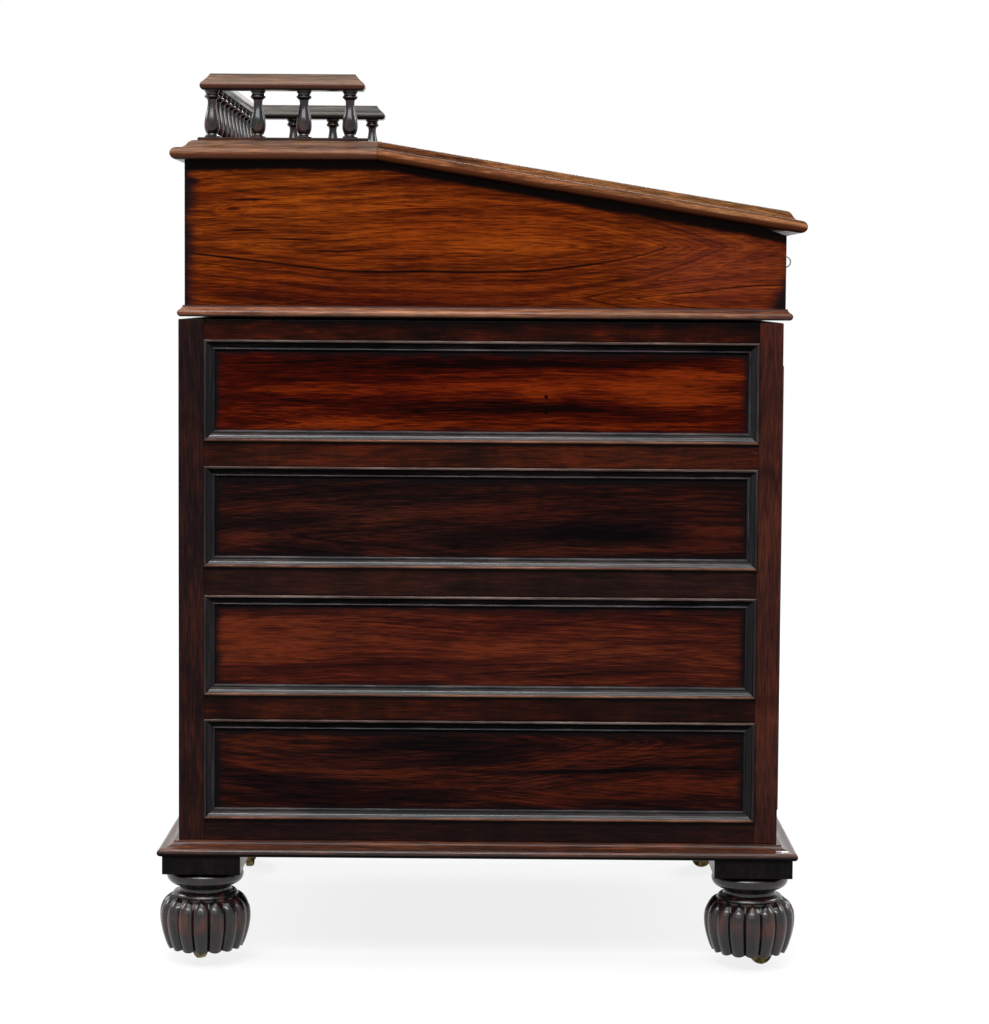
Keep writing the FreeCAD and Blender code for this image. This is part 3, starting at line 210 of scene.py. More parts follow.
FLOOR_HALF = 9
FLOOR_GLOW, FLOOR_SHADE = 0.84, 0.16
GLOW_START, GLOW_END = 0.75, 1.9
floor_mesh = bpy.data.meshes.new("floor")
corners = [(x * FLOOR_HALF, y * FLOOR_HALF, 0) for x, y in ((-1, -1), (1, -1), (1, 1), (-1, 1))]
floor_mesh.from_pydata(corners, [], [(0, 1, 2, 3)])
floor = linked("floor", floor_mesh)
paper = Finish("floor_white")
far_off = paper.eased(paper.length(paper.object_place()), GLOW_START, GLOW_END)
glow = paper.eased(far_off, 0.0, 1.0, FLOOR_GLOW, 1.0)
glow = paper.reckon("MULTIPLY", glow, paper.seen_by("Camera", "Glossy"))
matt = paper.put("BsdfDiffuse", {"Color": (FLOOR_SHADE, FLOOR_SHADE, FLOOR_SHADE, 1)})
lit = paper.put("Emission", {"Color": (1, 1, 1, 1), "Strength": glow})
floor_mesh.materials.append(paper.surface(paper.put("AddShader", {0: matt, 1: lit})))


# ---- Plinth ----
# The moulded board under the case: four mitred lengths with a rounded nose, a cove and a top
# fillet, and a plain board between them. The underside of the nose is painted in shade.
def traced(steps, pieces=7):
    """Points of a moulding's outline. A pair is a corner. [middle, end] is an arc through three
    points: its centre is where the bisectors of its two chords meet, and its points lie at even
    angles between start and end. Millimetres become metres."""
    points = [complex(*steps[0])]
    for step in steps[1:]:
        if isinstance(step, tuple):
            points.append(complex(*step))
            continue
        start, middle, end = points[-1], complex(*step[0]), complex(*step[1])
        ratio = (end - start) / (middle - start)
        centre = start + (middle - start) * (ratio - abs(ratio) ** 2) / (2j * ratio.imag)
        sweep = np.angle((middle - centre) / (start - centre))
        sweep += np.angle((end - centre) / (middle - centre))
        share = np.arange(1, pieces + 1) / pieces
        points.extend(centre + (start - centre) * np.exp(1j * sweep * share))
    points = np.array(points)
    return np.stack((points.real, points.imag), 1) / 1000


LEVEL = ((1, 0, 0), (0, 1, 0), (0, 0, 1))


def mitred_lengths(corner, ways, size, outline, sides="SENW"):
    """Lengths of one moulding round a rectangle whose ways are across, up and out. Each point is
    the side's start, plus s along it, plus the outline's inset towards the middle, plus the
    outline's rise outwards. s runs from the inset to the length less the inset where two lengths
    meet in a mitre."""
    corner = np.array(corner, float)
    across, up, out = np.array(ways, float)
    width, height = size[:2]
    starts = {
        "S": (0 * up, across, up, width, "WE"),
        "N": (up * height, across, -up, width, "WE"),
        "W": (0 * up, up, across, height, "SN"),
        "E": (across * width, up, -across, height, "SN"),
    }
    inset, rise = outline[:, 0], outline[:, 1]
    lengths = {}
    for side in sides:
        start, along, inward, length, ends = starts[side]
        s = np.stack((inset * (ends[0] in sides), length - inset * (ends[1] in sides)))
        base = corner + start + inset[:, None] * inward + rise[:, None] * out
        lengths[side] = base + s[..., None] * along
    return lengths


def along(side):
    """Which finish a side's length takes: 0 with the grain along X, 1 along Y."""
    return 0 if side in "SN" else 1


def woven(shape, wrapped=(0, 0)):
    """Quads of a grid of points; wrapped joins its last row or column to the first one."""
    index = np.arange(shape[0] * shape[1]).reshape(shape)
    index = np.pad(index, ((0, wrapped[0]), (0, wrapped[1])), "wrap")
    corners = (index[:-1, :-1], index[:-1, 1:], index[1:, 1:], index[1:, :-1])
    return np.stack(corners, -1).reshape(-1, 4).tolist()


def solid_between(rows, closed=True):
    """Faces of a grid of closed rings, with its first and last ring filled in."""
    count, around = rows.shape[:2]
    faces = woven((count, around), (0, 1))
    if closed:
        faces += [list(range(around))[::-1], list(range((count - 1) * around, count * around))]
    return rows.reshape(-1, 3), faces


def board(low, high):
    """The eight corners and six faces of a board between two corners."""
    low, high = np.array(low, float), np.array(high, float)
    ring = np.array([(0, 0), (1, 0), (1, 1), (0, 1)])
    rows = np.stack([np.concatenate((ring, np.full((4, 1), end)), 1) for end in (0, 1)])
    return solid_between(low + rows * (high - low))


def shaped(name, points, faces):
    """A linked object of those points and faces, with its faces turned outwards."""
    mesh = bpy.data.meshes.new(name)
    mesh.from_pydata(points.tolist(), [], faces)
    shape = bmesh.new()
    shape.from_mesh(mesh)
    bmesh.ops.recalc_face_normals(shape, faces=shape.faces)
    shape.to_mesh(mesh)
    shape.free()
    return linked(name, mesh)


EASED_ABOVE = math.radians(30)


def made(name, body, slot, shells, finishes, stands_for, ease=0.0, crease=38):
    """One piece from shells, each (points, faces) with the number of its finish, or one number for
    each face. ease rounds its arrises; without it, edges sharper than crease stay sharp."""
    points = np.concatenate([shell[0] for shell, _ in shells])
    faces, numbers = [], []
    start = 0
    for (shell_points, shell_faces), number in shells:
        faces += [[corner + start for corner in face] for face in shell_faces]
        numbers += number if isinstance(number, list) else [number] * len(shell_faces)
        start += len(shell_points)
    piece = shaped(name, points, faces)
    mesh = piece.data
    for finish in finishes:
        mesh.materials.append(finish)
    mesh.polygons.foreach_set("material_index", numbers)
    mesh.polygons.foreach_set("use_smooth", [True] * len(mesh.polygons))
    if ease:
        bevel = piece.modifiers.new("eased_arrises", "BEVEL")
        bevel.width, bevel.segments, bevel.limit_method = ease, 2, "ANGLE"
        bevel.angle_limit = EASED_ABOVE
        bevel.harden_normals = True
    else:
        mesh.set_sharp_from_angle(angle=math.radians(crease))
    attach(piece, body)
    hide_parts(stands_for)
    return piece


TURN_TO_GRAIN = {"X": (0, 0, 0), "Y": (0, 0, -math.pi / 2), "Z": (0, math.pi / 2, 0)}
WANDER = (0.06, 0.024, 0.024)
PLAIN_HEART = (0, -0.4, 0, 9, 0.06, 0.3, 1)
UP, DOWN = (0, 0, 1), (0, 0, -1)


def rosewood(name, grain, tones, hearts=(PLAIN_HEART,), shift=0.0, figure=(1.0, 1.0), rings=(),
             patches=(), hazes=(), knots=(), pores=0.4, polish=(0.1, 0.22), rims=()):
    """Polished rosewood. The grain's axis is turned onto X and wandered by a slow noise. Each heart,
    a centre, three radii and how long its other half is, gives d = across + along ** 2 in its
    radii, whose level lines are flames with pointed ends. d is eased to sqrt(d ** 2 + 0.2). Bands,
    streaks and threads are noises over (along, d); bars and fibres are noises stretched along the
    grain. rings are black lines at a set d. patches (centre, radii, gain) lighten or darken an
    oval, and hazes (centre, radii, tone, share) lay a tone thinly over one. knots (centre, radius)
    are dark spots. rims (planes, width, tone) lay a tone along the borders, mostly painted shade
    and shadow, in places a painted highlight and a painted reflection: a plane is a direction and
    an offset, whose sum with a place along it is the distance inside that border."""
    wood = Finish(name)
    object_place = wood.object_place()
    lengthwise = wood.placed(object_place, turn=TURN_TO_GRAIN[grain])
    rolled = wood.vector("ADD", lengthwise, (shift, shift * 0.37, shift * 0.61))
    wander = wood.drawn_out(rolled, (3.5, 9.0, 9.0), output=1)
    wandered = wood.vector("MULTIPLY_ADD", wander, WANDER, lengthwise)

    def off(centre, radii):
        shifted = tuple(-(c + 0.5 * w) / r for c, r, w in zip(centre, radii, WANDER))
        return wood.placed(wandered, tuple(1 / r for r in radii), shifted)

    def oval(centre, radii, gain, core=0.2):
        return wood.eased(wood.length(off(centre, radii)), core, 1.3, gain, 0.0)

    distance = tip = below = None
    for heart in hearts:
        here = off(heart[:3], heart[3:6])
        below = below or wood.eased(wood.part(here, 2), -0.3, 0.3, 1.0, 0.25)
        lengthways = wood.part(here)
        other_half = wood.reckon("MULTIPLY", lengthways, -1 / heart[6])
        lengthways = wood.reckon("MAXIMUM", lengthways, other_half)
        square = wood.reckon("MULTIPLY", lengthways, lengthways)
        across = wood.length(wood.vector("MULTIPLY", here, (0, 1, 1)))
        here = wood.reckon("ADD", across, square)
        distance = here if distance is None else wood.reckon("SMOOTH_MIN", distance, here, 0.35)
        tip = square if tip is None else wood.reckon("MINIMUM", tip, square)
    distance = wood.reckon("SQRT", wood.reckon("MULTIPLY_ADD", distance, distance, 0.2))
    tip = wood.eased(tip, 0.4, 1.0, 1.0, 3.2)
    flow = wood.put("CombineXYZ", {0: wood.part(rolled), 1: distance, 2: 0.0})

    def flowing(length, breadth, detail, roughness, shift=(0, 0, 0)):
        scale = (length * figure[0], breadth * figure[1], 1)
        return wood.drawn_out(flow, scale, detail, roughness, shift=shift)

    band = flowing(2.6, 2.4, 3.0, 0.55)
    streak = flowing(11.0, 22.0, 4.0, 0.65, (5, 3, 2))
    thread = flowing(1.6, 5.0, 2.0, 0.5, (1, 8, 4))
    bar = wood.drawn_out(wandered, (14.0, 210.0, 210.0), 3.0, 0.6, shift=(3, 1, 6))
    fibre = wood.drawn_out(rolled, (38.0, 720.0, 720.0), 2.0, 0.6)
    pore = wood.drawn_out(rolled, (60.0, 1250.0, 1250.0), 0.0, shift=(9, 1, 7))
    level = wood.reckon("MULTIPLY", band, 0.34)
    for noise, weight in ((streak, 0.26), (bar, 0.16), (fibre, 0.24)):
        level = wood.reckon("MULTIPLY_ADD", noise, weight, level)
    for patch in patches:
        level = wood.reckon("ADD", level, oval(*patch))
    colour = wood.ramp(level, (0.40, 0.5, 0.60), tones)
    reddened = wood.drawn_out(rolled, (4, 16, 16), shift=(7, 5, 2))
    reddened = wood.eased(reddened, 0.35, 0.7, 0.0, 0.55)
    colour = wood.blended(reddened, colour, (0.92, 0.62, 0.62, 1.0), "MULTIPLY")
    for centre, radii, haze_tone, share in hazes:
        colour = wood.blended(oval(centre, radii, share), colour, tone(*haze_tone))
    lined = wood.eased(wood.apart(thread, 0.5), 0.0, 0.018, 0.35, 0.0)
    for at, width, depth in rings:
        off_ring = wood.reckon("MULTIPLY", wood.apart(distance, at), tip)
        broken = wood.eased(streak, 0.35, 0.55, 0.55, 1.0)
        ring = wood.eased(off_ring, 0.2 * width, width, depth, 0.0)
        ring = wood.reckon("MULTIPLY", wood.reckon("MULTIPLY", ring, broken), below)
        lined = wood.reckon("MAXIMUM", lined, ring)
    for centre, radius in knots:
        lined = wood.reckon("MAXIMUM", lined, oval(centre, (radius, 9, radius), 0.95, 0.5))
    lined = wood.reckon("MAXIMUM", lined, wood.eased(pore, 0.58, 0.66, 0.0, pores))
    black = tuple(0.15 * share for share in tone(*tones[0])[:3]) + (1.0,)
    colour = wood.blended(lined, colour, black)
    # Rims: painted shade, shadow, highlight and reflection along borders, as each caller gives them.
    for planes, width, rim_tone in rims:
        nearest = None
        for way, offset in planes:
            inside = wood.vector("DOT_PRODUCT", object_place, way, output=1)
            inside = wood.reckon("ADD", inside, offset)
            nearest = wood.reckon("SMOOTH_MIN", nearest, inside, width) if nearest else inside
        ragged = wood.drawn_out(object_place, (30, 30, 45), 4.0)
        ragged = wood.reckon("MULTIPLY_ADD", ragged, -1.6 * width, nearest)
        share = wood.eased(ragged, -0.9 * width, 0.45 * width, 0.97, 0.0)
        colour = wood.blended(share, colour, tone(*rim_tone))
    specular, roughness = polish
    cloudy = wood.drawn_out(rolled, (14, 60, 60))
    rough = wood.eased(cloudy, 0.3, 0.7, roughness * 0.8, roughness * 1.25)
    height = wood.reckon("MULTIPLY_ADD", cloudy, 2.0, fibre)
    return wood.coat(colour, rough, height, (0.3, 0.00012), specular)


def both_ways(name, tones, **looks):
    """The same rosewood twice, with its grain along X and along Y."""
    return [rosewood("%s_%s" % (name, axis.lower()), axis, tones, **looks) for axis in "XY"]


def rim(way, offset, width, rim_tone):
    """A rim along one plane, as rosewood takes it."""
    return (((way, offset),), width, rim_tone)


PLINTH_EDGE = traced([
    (3.0, 0.0), [(0.0, 4.0), (3.0, 8.0)], [(11.0, 9.2), (15.5, 12.4)], (15.5, 14.0), (44.0, 14.0),
    (44.0, 0.0),
])
PLINTH_WIDTH = 0.044
PLINTH_TONES = ((28, 14, 10), (64, 36, 26), (114, 62, 38))
PLINTH_GLOSS = {"X": 0.12, "Y": 0.24}
# The lowest faces of the nose take darker tones and a rim darkens the nose just above them: both are painted
# shade on the nose's underside.
SHADED_UNDER_TONES = ((6, 4, 4), (16, 9, 7), (34, 18, 12))
SHADED_UNDER_FACES = 3
plinth_low, plinth_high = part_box("plinth")
painted_nose_shade = rim(UP, -plinth_low.z - 0.0032, 0.002, (20, 12, 10))
plinth_woods = []
for axis, gloss in PLINTH_GLOSS.items():
    looks = dict(shift=1.3, polish=(gloss, 0.18), rims=(painted_nose_shade,))
    plinth_woods.append(rosewood("plinth_wood_" + axis.lower(), axis, PLINTH_TONES, **looks))
plinth_woods += both_ways("plinth_shaded_under", SHADED_UNDER_TONES, shift=1.3, polish=(0.03, 0.3))
inner = Vector((PLINTH_WIDTH, PLINTH_WIDTH, 0.0))
shells = []
for side, rows in mitred_lengths(plinth_low, LEVEL, plinth_high - plinth_low, PLINTH_EDGE).items():
    axis = along(side)
    numbers = [axis + 2 * (face < SHADED_UNDER_FACES) for face in range(len(PLINTH_EDGE))] + [axis] * 2
    shells.append((solid_between(rows), numbers))
shells.append((board(plinth_low + inner, plinth_high - inner), 0))
made("plinth_board", "case", "rosewood", shells, plinth_woods, "plinth")


# ---- Corner stiles ----
# Four solid uprights at the corners of the case, glued to the rails; the long grain is nearly
# black with a red streak, and the edges are worn soft.
STILE_LOOKS = (
    ("front", ((16, 10, 11), (52, 27, 23), (84, 42, 30)), 0.7),
    ("back", ((10, 6, 7), (36, 20, 19), (70, 32, 24)), 1.9),
)
STILE_HEART = (0, 0, 0, 3.0, 0.5, 0.05, 1)
stile_woods = [
    rosewood("stile_wood_" + end, "Z", tones, (STILE_HEART,), shift, (1.0, 0.6), polish=(0.04, 0.25))
    for end, tones, shift in STILE_LOOKS
]
stile_low, stile_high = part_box("corner_stiles")
CASE_WALL = 0.020
FRONT_STILE, BACK_STILE = 0.024, 0.026


def both_walls(low, high):
    """How far across the left and the right wall of the case reach, between two corners."""
    return (low.x, low.x + CASE_WALL), (high.x - CASE_WALL, high.x)


edges = ((stile_low.y, stile_low.y + FRONT_STILE), (stile_high.y - BACK_STILE, stile_high.y))
shells = []
for x in both_walls(stile_low, stile_high):
    for number, y in enumerate(edges):
        shells.append((board((x[0], y[0], stile_low.z), (x[1], y[1], stile_high.z)), number))
made("case_stiles", "case", "rosewood", shells, stile_woods, "corner_stiles", ease=0.0009)


# ---- Side rails ----
# Five rails a side between the stiles, one above each drawer and one below the lowest. Each is
# its own board, with its own figure, and a black band of painted shadow along its upper edge,
# under the moulding above it; the top rail's, under the waist, is the widest.
RAIL_HEIGHTS = (0.0223, 0.0243, 0.0283, 0.0251, 0.0202)
OPENING_HEIGHT = (stile_high.z - stile_low.z - sum(RAIL_HEIGHTS)) / 4
RAIL_TONES = (
    ((14, 7, 8), (32, 15, 14), (56, 24, 18)),
    ((16, 6, 5), (40, 14, 8), (78, 30, 12)),
    ((18, 9, 8), (38, 20, 17), (64, 30, 20)),
    ((18, 9, 7), (50, 21, 12), (86, 36, 16)),
    ((10, 3, 2), (44, 13, 5), (84, 28, 9)),
)
RAIL_SHADOW_WIDTHS = (0.0045, 0.0045, 0.0045, 0.0045, 0.010)
rail_low, rail_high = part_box("side_rails")
floor_level = stile_low.z
for number, (height, tones, shade) in enumerate(zip(RAIL_HEIGHTS, RAIL_TONES, RAIL_SHADOW_WIDTHS)):
    wood = rosewood(
        "side_rail_wood_%d" % number, "Y", tones, shift=3.1 + number * 1.7, figure=(1.6, 1.0),
        # The rim is a black band of painted shadow along the rail's upper edge.
        polish=(0.04, 0.25), rims=(rim(DOWN, floor_level + height, shade, (2, 1, 2)),),
    )
    shells = []
    for x in both_walls(rail_low, rail_high):
        shells.append((board((x[0], rail_low.y, floor_level), (x[1], rail_high.y, floor_level + height)), 0))
    made("side_rails_%d" % number, "case", "rosewood", shells, [wood], "side_rails", ease=0.0006)
    floor_level += height + OPENING_HEIGHT


# ---- Case back and front ----
# One wide flat panel at each end of the case, between the side frames, with a mitred moulding
# planted on its outer face.
PANEL_MOULDING = traced([
    (0, 0), (0, 4.9), [(1.4, 5.8), (2.8, 4.9)], (2.8, 3.7), [(5.2, 1.8), (8.2, 1.3)],
    [(9.6, 2.3), (11.2, 1.0)], (11.2, 0),
])
MOULDING_WIDTH, MOULDING_RISE = 0.0112, 0.0058
# Each zone of the moulding has its own tones, and the differences are mostly painted light: the hollow of
# the upper length, facing down, is nearly black as painted shade; the hollow of the lower length, facing up,
# is a pale blue grey as a painted reflection; the uprights are dark; the line along the inner round is a
# painted highlight; and the beads are paler on the level lengths than on the uprights, a painted highlight,
# tan brown on the lower length and grey on the upper.
MOULDING_LOOKS = {
    "upper": (((2, 2, 3), (8, 7, 9), (30, 24, 24)), 0.015, "XY"),
    "lower": (((16, 15, 16), (38, 35, 36), (78, 70, 66)), 0.24, "XY"),
    "bead": (((60, 34, 25), (102, 66, 49), (150, 104, 80)), 0.10, "XY"),
    "upright": (((6, 6, 9), (18, 17, 20), (42, 37, 38)), 0.12, "Z"),
    "upright_bead": (((20, 17, 19), (40, 35, 36), (80, 70, 66)), 0.12, "Z"),
    "crest": (((38, 28, 24), (72, 54, 48), (114, 98, 90)), 0.08, "XY"),
    "line": (((18, 16, 20), (44, 41, 44), (84, 80, 82)), 0.10, "XYZ"),
}
moulding_woods = {}
for zone, (tones, gloss, axes) in MOULDING_LOOKS.items():
    for axis in axes:
        name = "moulding_%s_%s" % (zone, axis.lower())
        moulding_woods[zone + axis] = rosewood(name, axis, tones, shift=0.9, polish=(gloss, 0.17))
BEAD_FACES, UPPER_LINE, LOWER_LINE = range(1, 7), range(16, 19), range(19, 23)
LENGTH_FINISHES = {
    "N": (0, 5, 6, UPPER_LINE), "S": (1, 2, 6, LOWER_LINE),
    "E": (3, 4, 7, UPPER_LINE), "W": (3, 4, 7, UPPER_LINE),
}


def framed(corner, ways, size):
    """Shells of the panel moulding round a rectangle. The bead's faces take a bead finish, a line
    along the inner round one with a painted highlight, and the rest a hollow finish: painted shade
    on the upper length, a painted reflection on the lower one and dark on the uprights. The
    finishes are moulding_finishes' own, numbered from 1."""
    shells = []
    for side, rows in mitred_lengths(corner, ways, size, PANEL_MOULDING).items():
        hollow, bead, line, line_faces = LENGTH_FINISHES[side]
        numbers = [
            1 + (bead if face in BEAD_FACES else line if face in line_faces else hollow)
            for face in range(len(PANEL_MOULDING))
        ]
        shells.append((solid_between(rows), numbers + [1 + hollow] * 2))
    return shells


def moulding_finishes(axis):
    """The eight finishes of a frame whose level lengths lie along that axis."""
    zones = ["upper" + axis, "lower" + axis, "bead" + axis, "uprightZ", "upright_beadZ", "crest" + axis]
    return [moulding_woods[zone] for zone in zones + ["line" + axis, "lineZ"]]


END_TONES = ((30, 12, 9), (62, 26, 16), (96, 46, 24))
END_MARGIN, END_THICKNESS = 0.026, 0.018
for node, outward in (("case_back", 1), ("case_front", -1)):
    low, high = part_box(node)
    face_y = high.y - MOULDING_RISE if outward > 0 else low.y + MOULDING_RISE
    middle, half = (low + high) / 2, (high - low) / 2
    field = (half.x - END_MARGIN - MOULDING_WIDTH, half.z - END_MARGIN - MOULDING_WIDTH)
    # The rims darken the field towards the moulding on all four sides: painted shade inside the frame.
    planes = [((hand, 0, 0), field[0] - hand * middle.x) for hand in (-1, 1)]
    planes += [((0, 0, hand), field[1] - hand * middle.z) for hand in (-1, 1)]
    looks = dict(hearts=((0.1, 0, middle.z, 0.6, 0.3, 0.07, 1),), shift=2.0 + outward)
    wood = rosewood(node + "_wood", "X", END_TONES, rims=((planes, 0.009, (16, 12, 13)),), **looks)
    border_wood = rosewood(node + "_border_wood", "X", END_TONES, **looks)
    ways = ((1, 0, 0), (0, 0, 1), (0, outward, 0))
    flat = np.array([(0, 0), (END_MARGIN, 0), (END_MARGIN, -END_THICKNESS), (0, -END_THICKNESS)])
    borders = mitred_lengths((low.x, face_y, low.z), ways, (2 * half.x, 2 * half.z), flat)
    panel_y = sorted((face_y, face_y - outward * END_THICKNESS))
    panel_low = (low.x + END_MARGIN, panel_y[0], low.z + END_MARGIN)
    panel_high = (high.x - END_MARGIN, panel_y[1], high.z - END_MARGIN)
    shells = [(board(panel_low, panel_high), 0)] + [(solid_between(rows), 9) for rows in borders.values()]
    size = (2 * (half.x - END_MARGIN), 2 * (half.z - END_MARGIN))
    shells += framed((panel_low[0], face_y, panel_low[2]), ways, size)
    finishes = [wood] + moulding_finishes("X") + [border_wood]
    made(node + "_panel", "case", "rosewood", shells, finishes, node)


# ---- Case top, dust boards and guides ----
# The board that closes the case and carries the box on two dovetailed grooves, and the plain
# softwood boards that the drawers run on and between.
def plain_timber(name, grain, tones, polish=(0.12, 0.5)):
    """Plain straight-grained timber: slow bands, streaks and fibres along the grain."""
    wood = Finish(name)
    lengthwise = wood.placed(wood.object_place(), turn=TURN_TO_GRAIN[grain])
    wander = wood.drawn_out(lengthwise, (2, 6, 6), output=1)
    wandered = wood.vector("MULTIPLY_ADD", wander, (0, 0.02, 0.02), lengthwise)
    band = wood.drawn_out(wandered, (1.5, 55, 40), 3.0, 0.55)
    fibre = wood.drawn_out(wandered, (18, 700, 700))
    level = wood.reckon("MULTIPLY_ADD", band, 0.7, wood.reckon("MULTIPLY", fibre, 0.3))
    specular, roughness = polish
    rough = wood.eased(band, 0.3, 0.7, roughness * 0.85, roughness * 1.15)
    return wood.coat(wood.ramp(level, (0.32, 0.5, 0.68), tones), rough, fibre, (0.4, 0.0002), specular)


def refinished(finish, *nodes):
    """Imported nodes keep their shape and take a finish."""
    for node in nodes:
        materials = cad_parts[node].data.materials
        materials.clear()
        materials.append(finish)


LINING_TONES = ((104, 68, 40), (140, 98, 62), (172, 128, 86))
lining = {axis: plain_timber("lining_" + axis.lower(), axis, LINING_TONES) for axis in "XY"}
refinished(rosewood("case_top_wood", "Y", END_TONES, shift=4.4, polish=(0.1, 0.4)), "case_top")
refinished(lining["X"], "dust_boards", "drawer_guides")


# ---- Dummy drawer fronts ----
# Four false fronts on the side away from the drawers: a flat field with its own figure, and the
# planted moulding with painted light and shade in its zones, and painted shade along the field's
# borders inside it.
FIELD_DEPTH = 0.016
FIELD_TONES = (
    ((14, 2, 1), (62, 11, 3), (118, 40, 8)),
    ((7, 5, 7), (31, 14, 12), (72, 30, 19)),
    ((28, 11, 10), (66, 25, 17), (106, 46, 24)),
    ((9, 5, 7), (38, 15, 12), (84, 34, 18)),
)
FIELD_HEARTS = (
    ((0.0, 0.0, 0.594, 0.70, 9, 0.030, 1), (0.42, 0.0, 0.56, 0.30, 9, 0.030, 1)),
    ((-0.25, 0.0, 0.44, 0.60, 9, 0.045, 1),),
    ((0.15, 0.0, 0.335, 0.60, 9, 0.040, 1), (-0.5, 0.0, 0.32, 0.35, 9, 0.030, 1)),
    ((0.12, 0.0, 0.235, 0.25, 9, 0.030, 1), (-0.45, 0.0, 0.19, 0.40, 9, 0.030, 1)),
)
# Ovals in each field: share of its width from the left, share of its height from the top, half
# sizes as the same shares, and how much lighter or darker.
FIELD_PATCHES = (
    (
        (0.25, 0.13, 0.30, 0.13, -0.11), (0.62, 0.12, 0.32, 0.12, -0.07), (0.25, 0.45, 0.30, 0.15, 0.06),
        (0.64, 0.48, 0.22, 0.14, 0.06), (0.88, 0.45, 0.13, 0.26, 0.065), (0.52, 0.74, 0.36, 0.13, -0.08),
        (0.20, 0.93, 0.30, 0.09, 0.06), (0.63, 0.60, 0.045, 0.16, 0.07),
    ),
    (
        (0.35, 0.46, 0.40, 0.12, 0.05), (0.30, 0.20, 0.28, 0.18, -0.06), (0.72, 0.72, 0.20, 0.13, -0.12),
        (0.48, 0.78, 0.12, 0.13, -0.07), (0.05, 0.85, 0.07, 0.16, 0.08), (0.95, 0.60, 0.10, 0.45, 0.07),
        (0.75, 0.95, 0.22, 0.07, 0.07),
    ),
    (
        (0.12, 0.50, 0.14, 0.14, 0.06), (0.60, 0.50, 0.34, 0.10, 0.05), (0.03, 0.30, 0.05, 0.26, 0.05),
        (0.95, 0.85, 0.08, 0.20, 0.05), (0.38, 0.76, 0.28, 0.13, -0.07), (0.50, 0.20, 0.22, 0.14, -0.05),
    ),
    (
        (0.45, 0.20, 0.20, 0.20, -0.09), (0.14, 0.72, 0.14, 0.28, -0.05), (0.36, 0.78, 0.14, 0.12, -0.05),
        (0.20, 0.45, 0.22, 0.13, 0.05), (0.80, 0.28, 0.25, 0.18, 0.06), (0.76, 0.72, 0.22, 0.18, 0.04),
        (0.75, 0.49, 0.26, 0.035, -0.12),
    ),
)
LOWER_BORDER_SAVED = 0.0035
FIELD_KNOTS = (((0.637, 0.62, 0.0024), (0.634, 0.80, 0.0022)), (), (), ())


def drawer_front(name, body, node, side, number):
    """A front's field and its four mitred lengths; side is -1 on the left and 1 on the right."""
    low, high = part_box(node)
    face_x = high.x - MOULDING_RISE if side > 0 else low.x + MOULDING_RISE
    middle, half = (low + high) / 2, (high - low) / 2
    half_y, half_z = half.y - MOULDING_WIDTH, half.z - MOULDING_WIDTH
    # The rims darken the field along the moulding in a bluish dark, less at its lower border: painted shade
    # inside the frame.
    planes = [((0, hand, 0), half_y - hand * middle.y) for hand in (-1, 1)]
    planes += [(DOWN, half_z + middle.z), (UP, half_z - middle.z + LOWER_BORDER_SAVED)]

    def placed_at(across, down):
        return (middle.y + half_y * (1 - 2 * across), 0.0, middle.z + half_z * (1 - 2 * down))

    patches = [
        (placed_at(across, down), (2 * half_y * wide, 9, 2 * half_z * tall), gain)
        for across, down, wide, tall, gain in FIELD_PATCHES[number]
    ]
    knots = [(placed_at(across, down), radius) for across, down, radius in FIELD_KNOTS[number]]
    wood = rosewood(
        name + "_wood", "Y", FIELD_TONES[number], FIELD_HEARTS[number], 0.4 + 1.9 * number + side,
        patches=patches, knots=knots, polish=(0.02, 0.2), rims=((planes, 0.007, (12, 12, 15)),),
    )
    field_x = sorted((face_x, face_x - side * FIELD_DEPTH))
    shells = [(board((field_x[0], low.y, low.z), (field_x[1], high.y, high.z)), 0)]
    ways = ((0, 1, 0), (0, 0, 1), (side, 0, 0))
    shells += framed((face_x, low.y, low.z), ways, (2 * half.y, 2 * half.z))
    made(name, body, "rosewood", shells, [wood] + moulding_finishes("Y"), node)


for number in range(4):
    drawer_front("dummy_drawer_%d" % (number + 1), "case", "dummy_front_%d" % (number + 1), -1, number)


# ---- Feet ----
# Four feet in nearly black rosewood: a square pad, a turned collar with an ovolo, neck and bead,
# and a bun carved with sixteen reeds that end in arches, a narrow V groove between each two.
FOOT_PLACES = {
    "back_left": (-0.228, 0.2814), "front_left": (-0.228, -0.2796),
    "back_right": (0.228, 0.2814), "front_right": (0.228, -0.2796),
}


def dark_polish(name, tones, specular, roughness, paler_band):
    """Rosewood under old dark polish: slow clouds let a red brown through a nearly black ground,
    and fine fibres and a few pale scratches lie over it. rubbed (level, half height, gain) is a
    belt where more of the brown shows."""
    finish = Finish(name)
    place = finish.object_place()
    cloud = finish.drawn_out(place, (120, 120, 40), 3.0, 0.6)
    fibre = finish.drawn_out(place, (900, 900, 60))
    level = finish.reckon("MULTIPLY_ADD", fibre, 0.25, finish.reckon("MULTIPLY", cloud, 0.75))
    belt_level, half_height, gain = paler_band
    off_belt = finish.apart(finish.part(place, 2), belt_level)
    belt = finish.eased(off_belt, 0.3 * half_height, half_height, gain, 0.0)
    colour = finish.ramp(finish.reckon("ADD", level, belt), (0.34, 0.53, 0.76), tones)
    scratch = finish.drawn_out(place, (60, 420, 900), 1.0, turn=(0.5, 0.3, 0.2))
    colour = finish.blended(finish.eased(scratch, 0.72, 0.76, 0.0, 0.2), colour, tone(120, 104, 92))
    rough = finish.eased(cloud, 0.35, 0.65, roughness * 0.8, roughness * 1.2)
    return finish.coat(colour, rough, cloud, (0.2, 0.00005), specular)


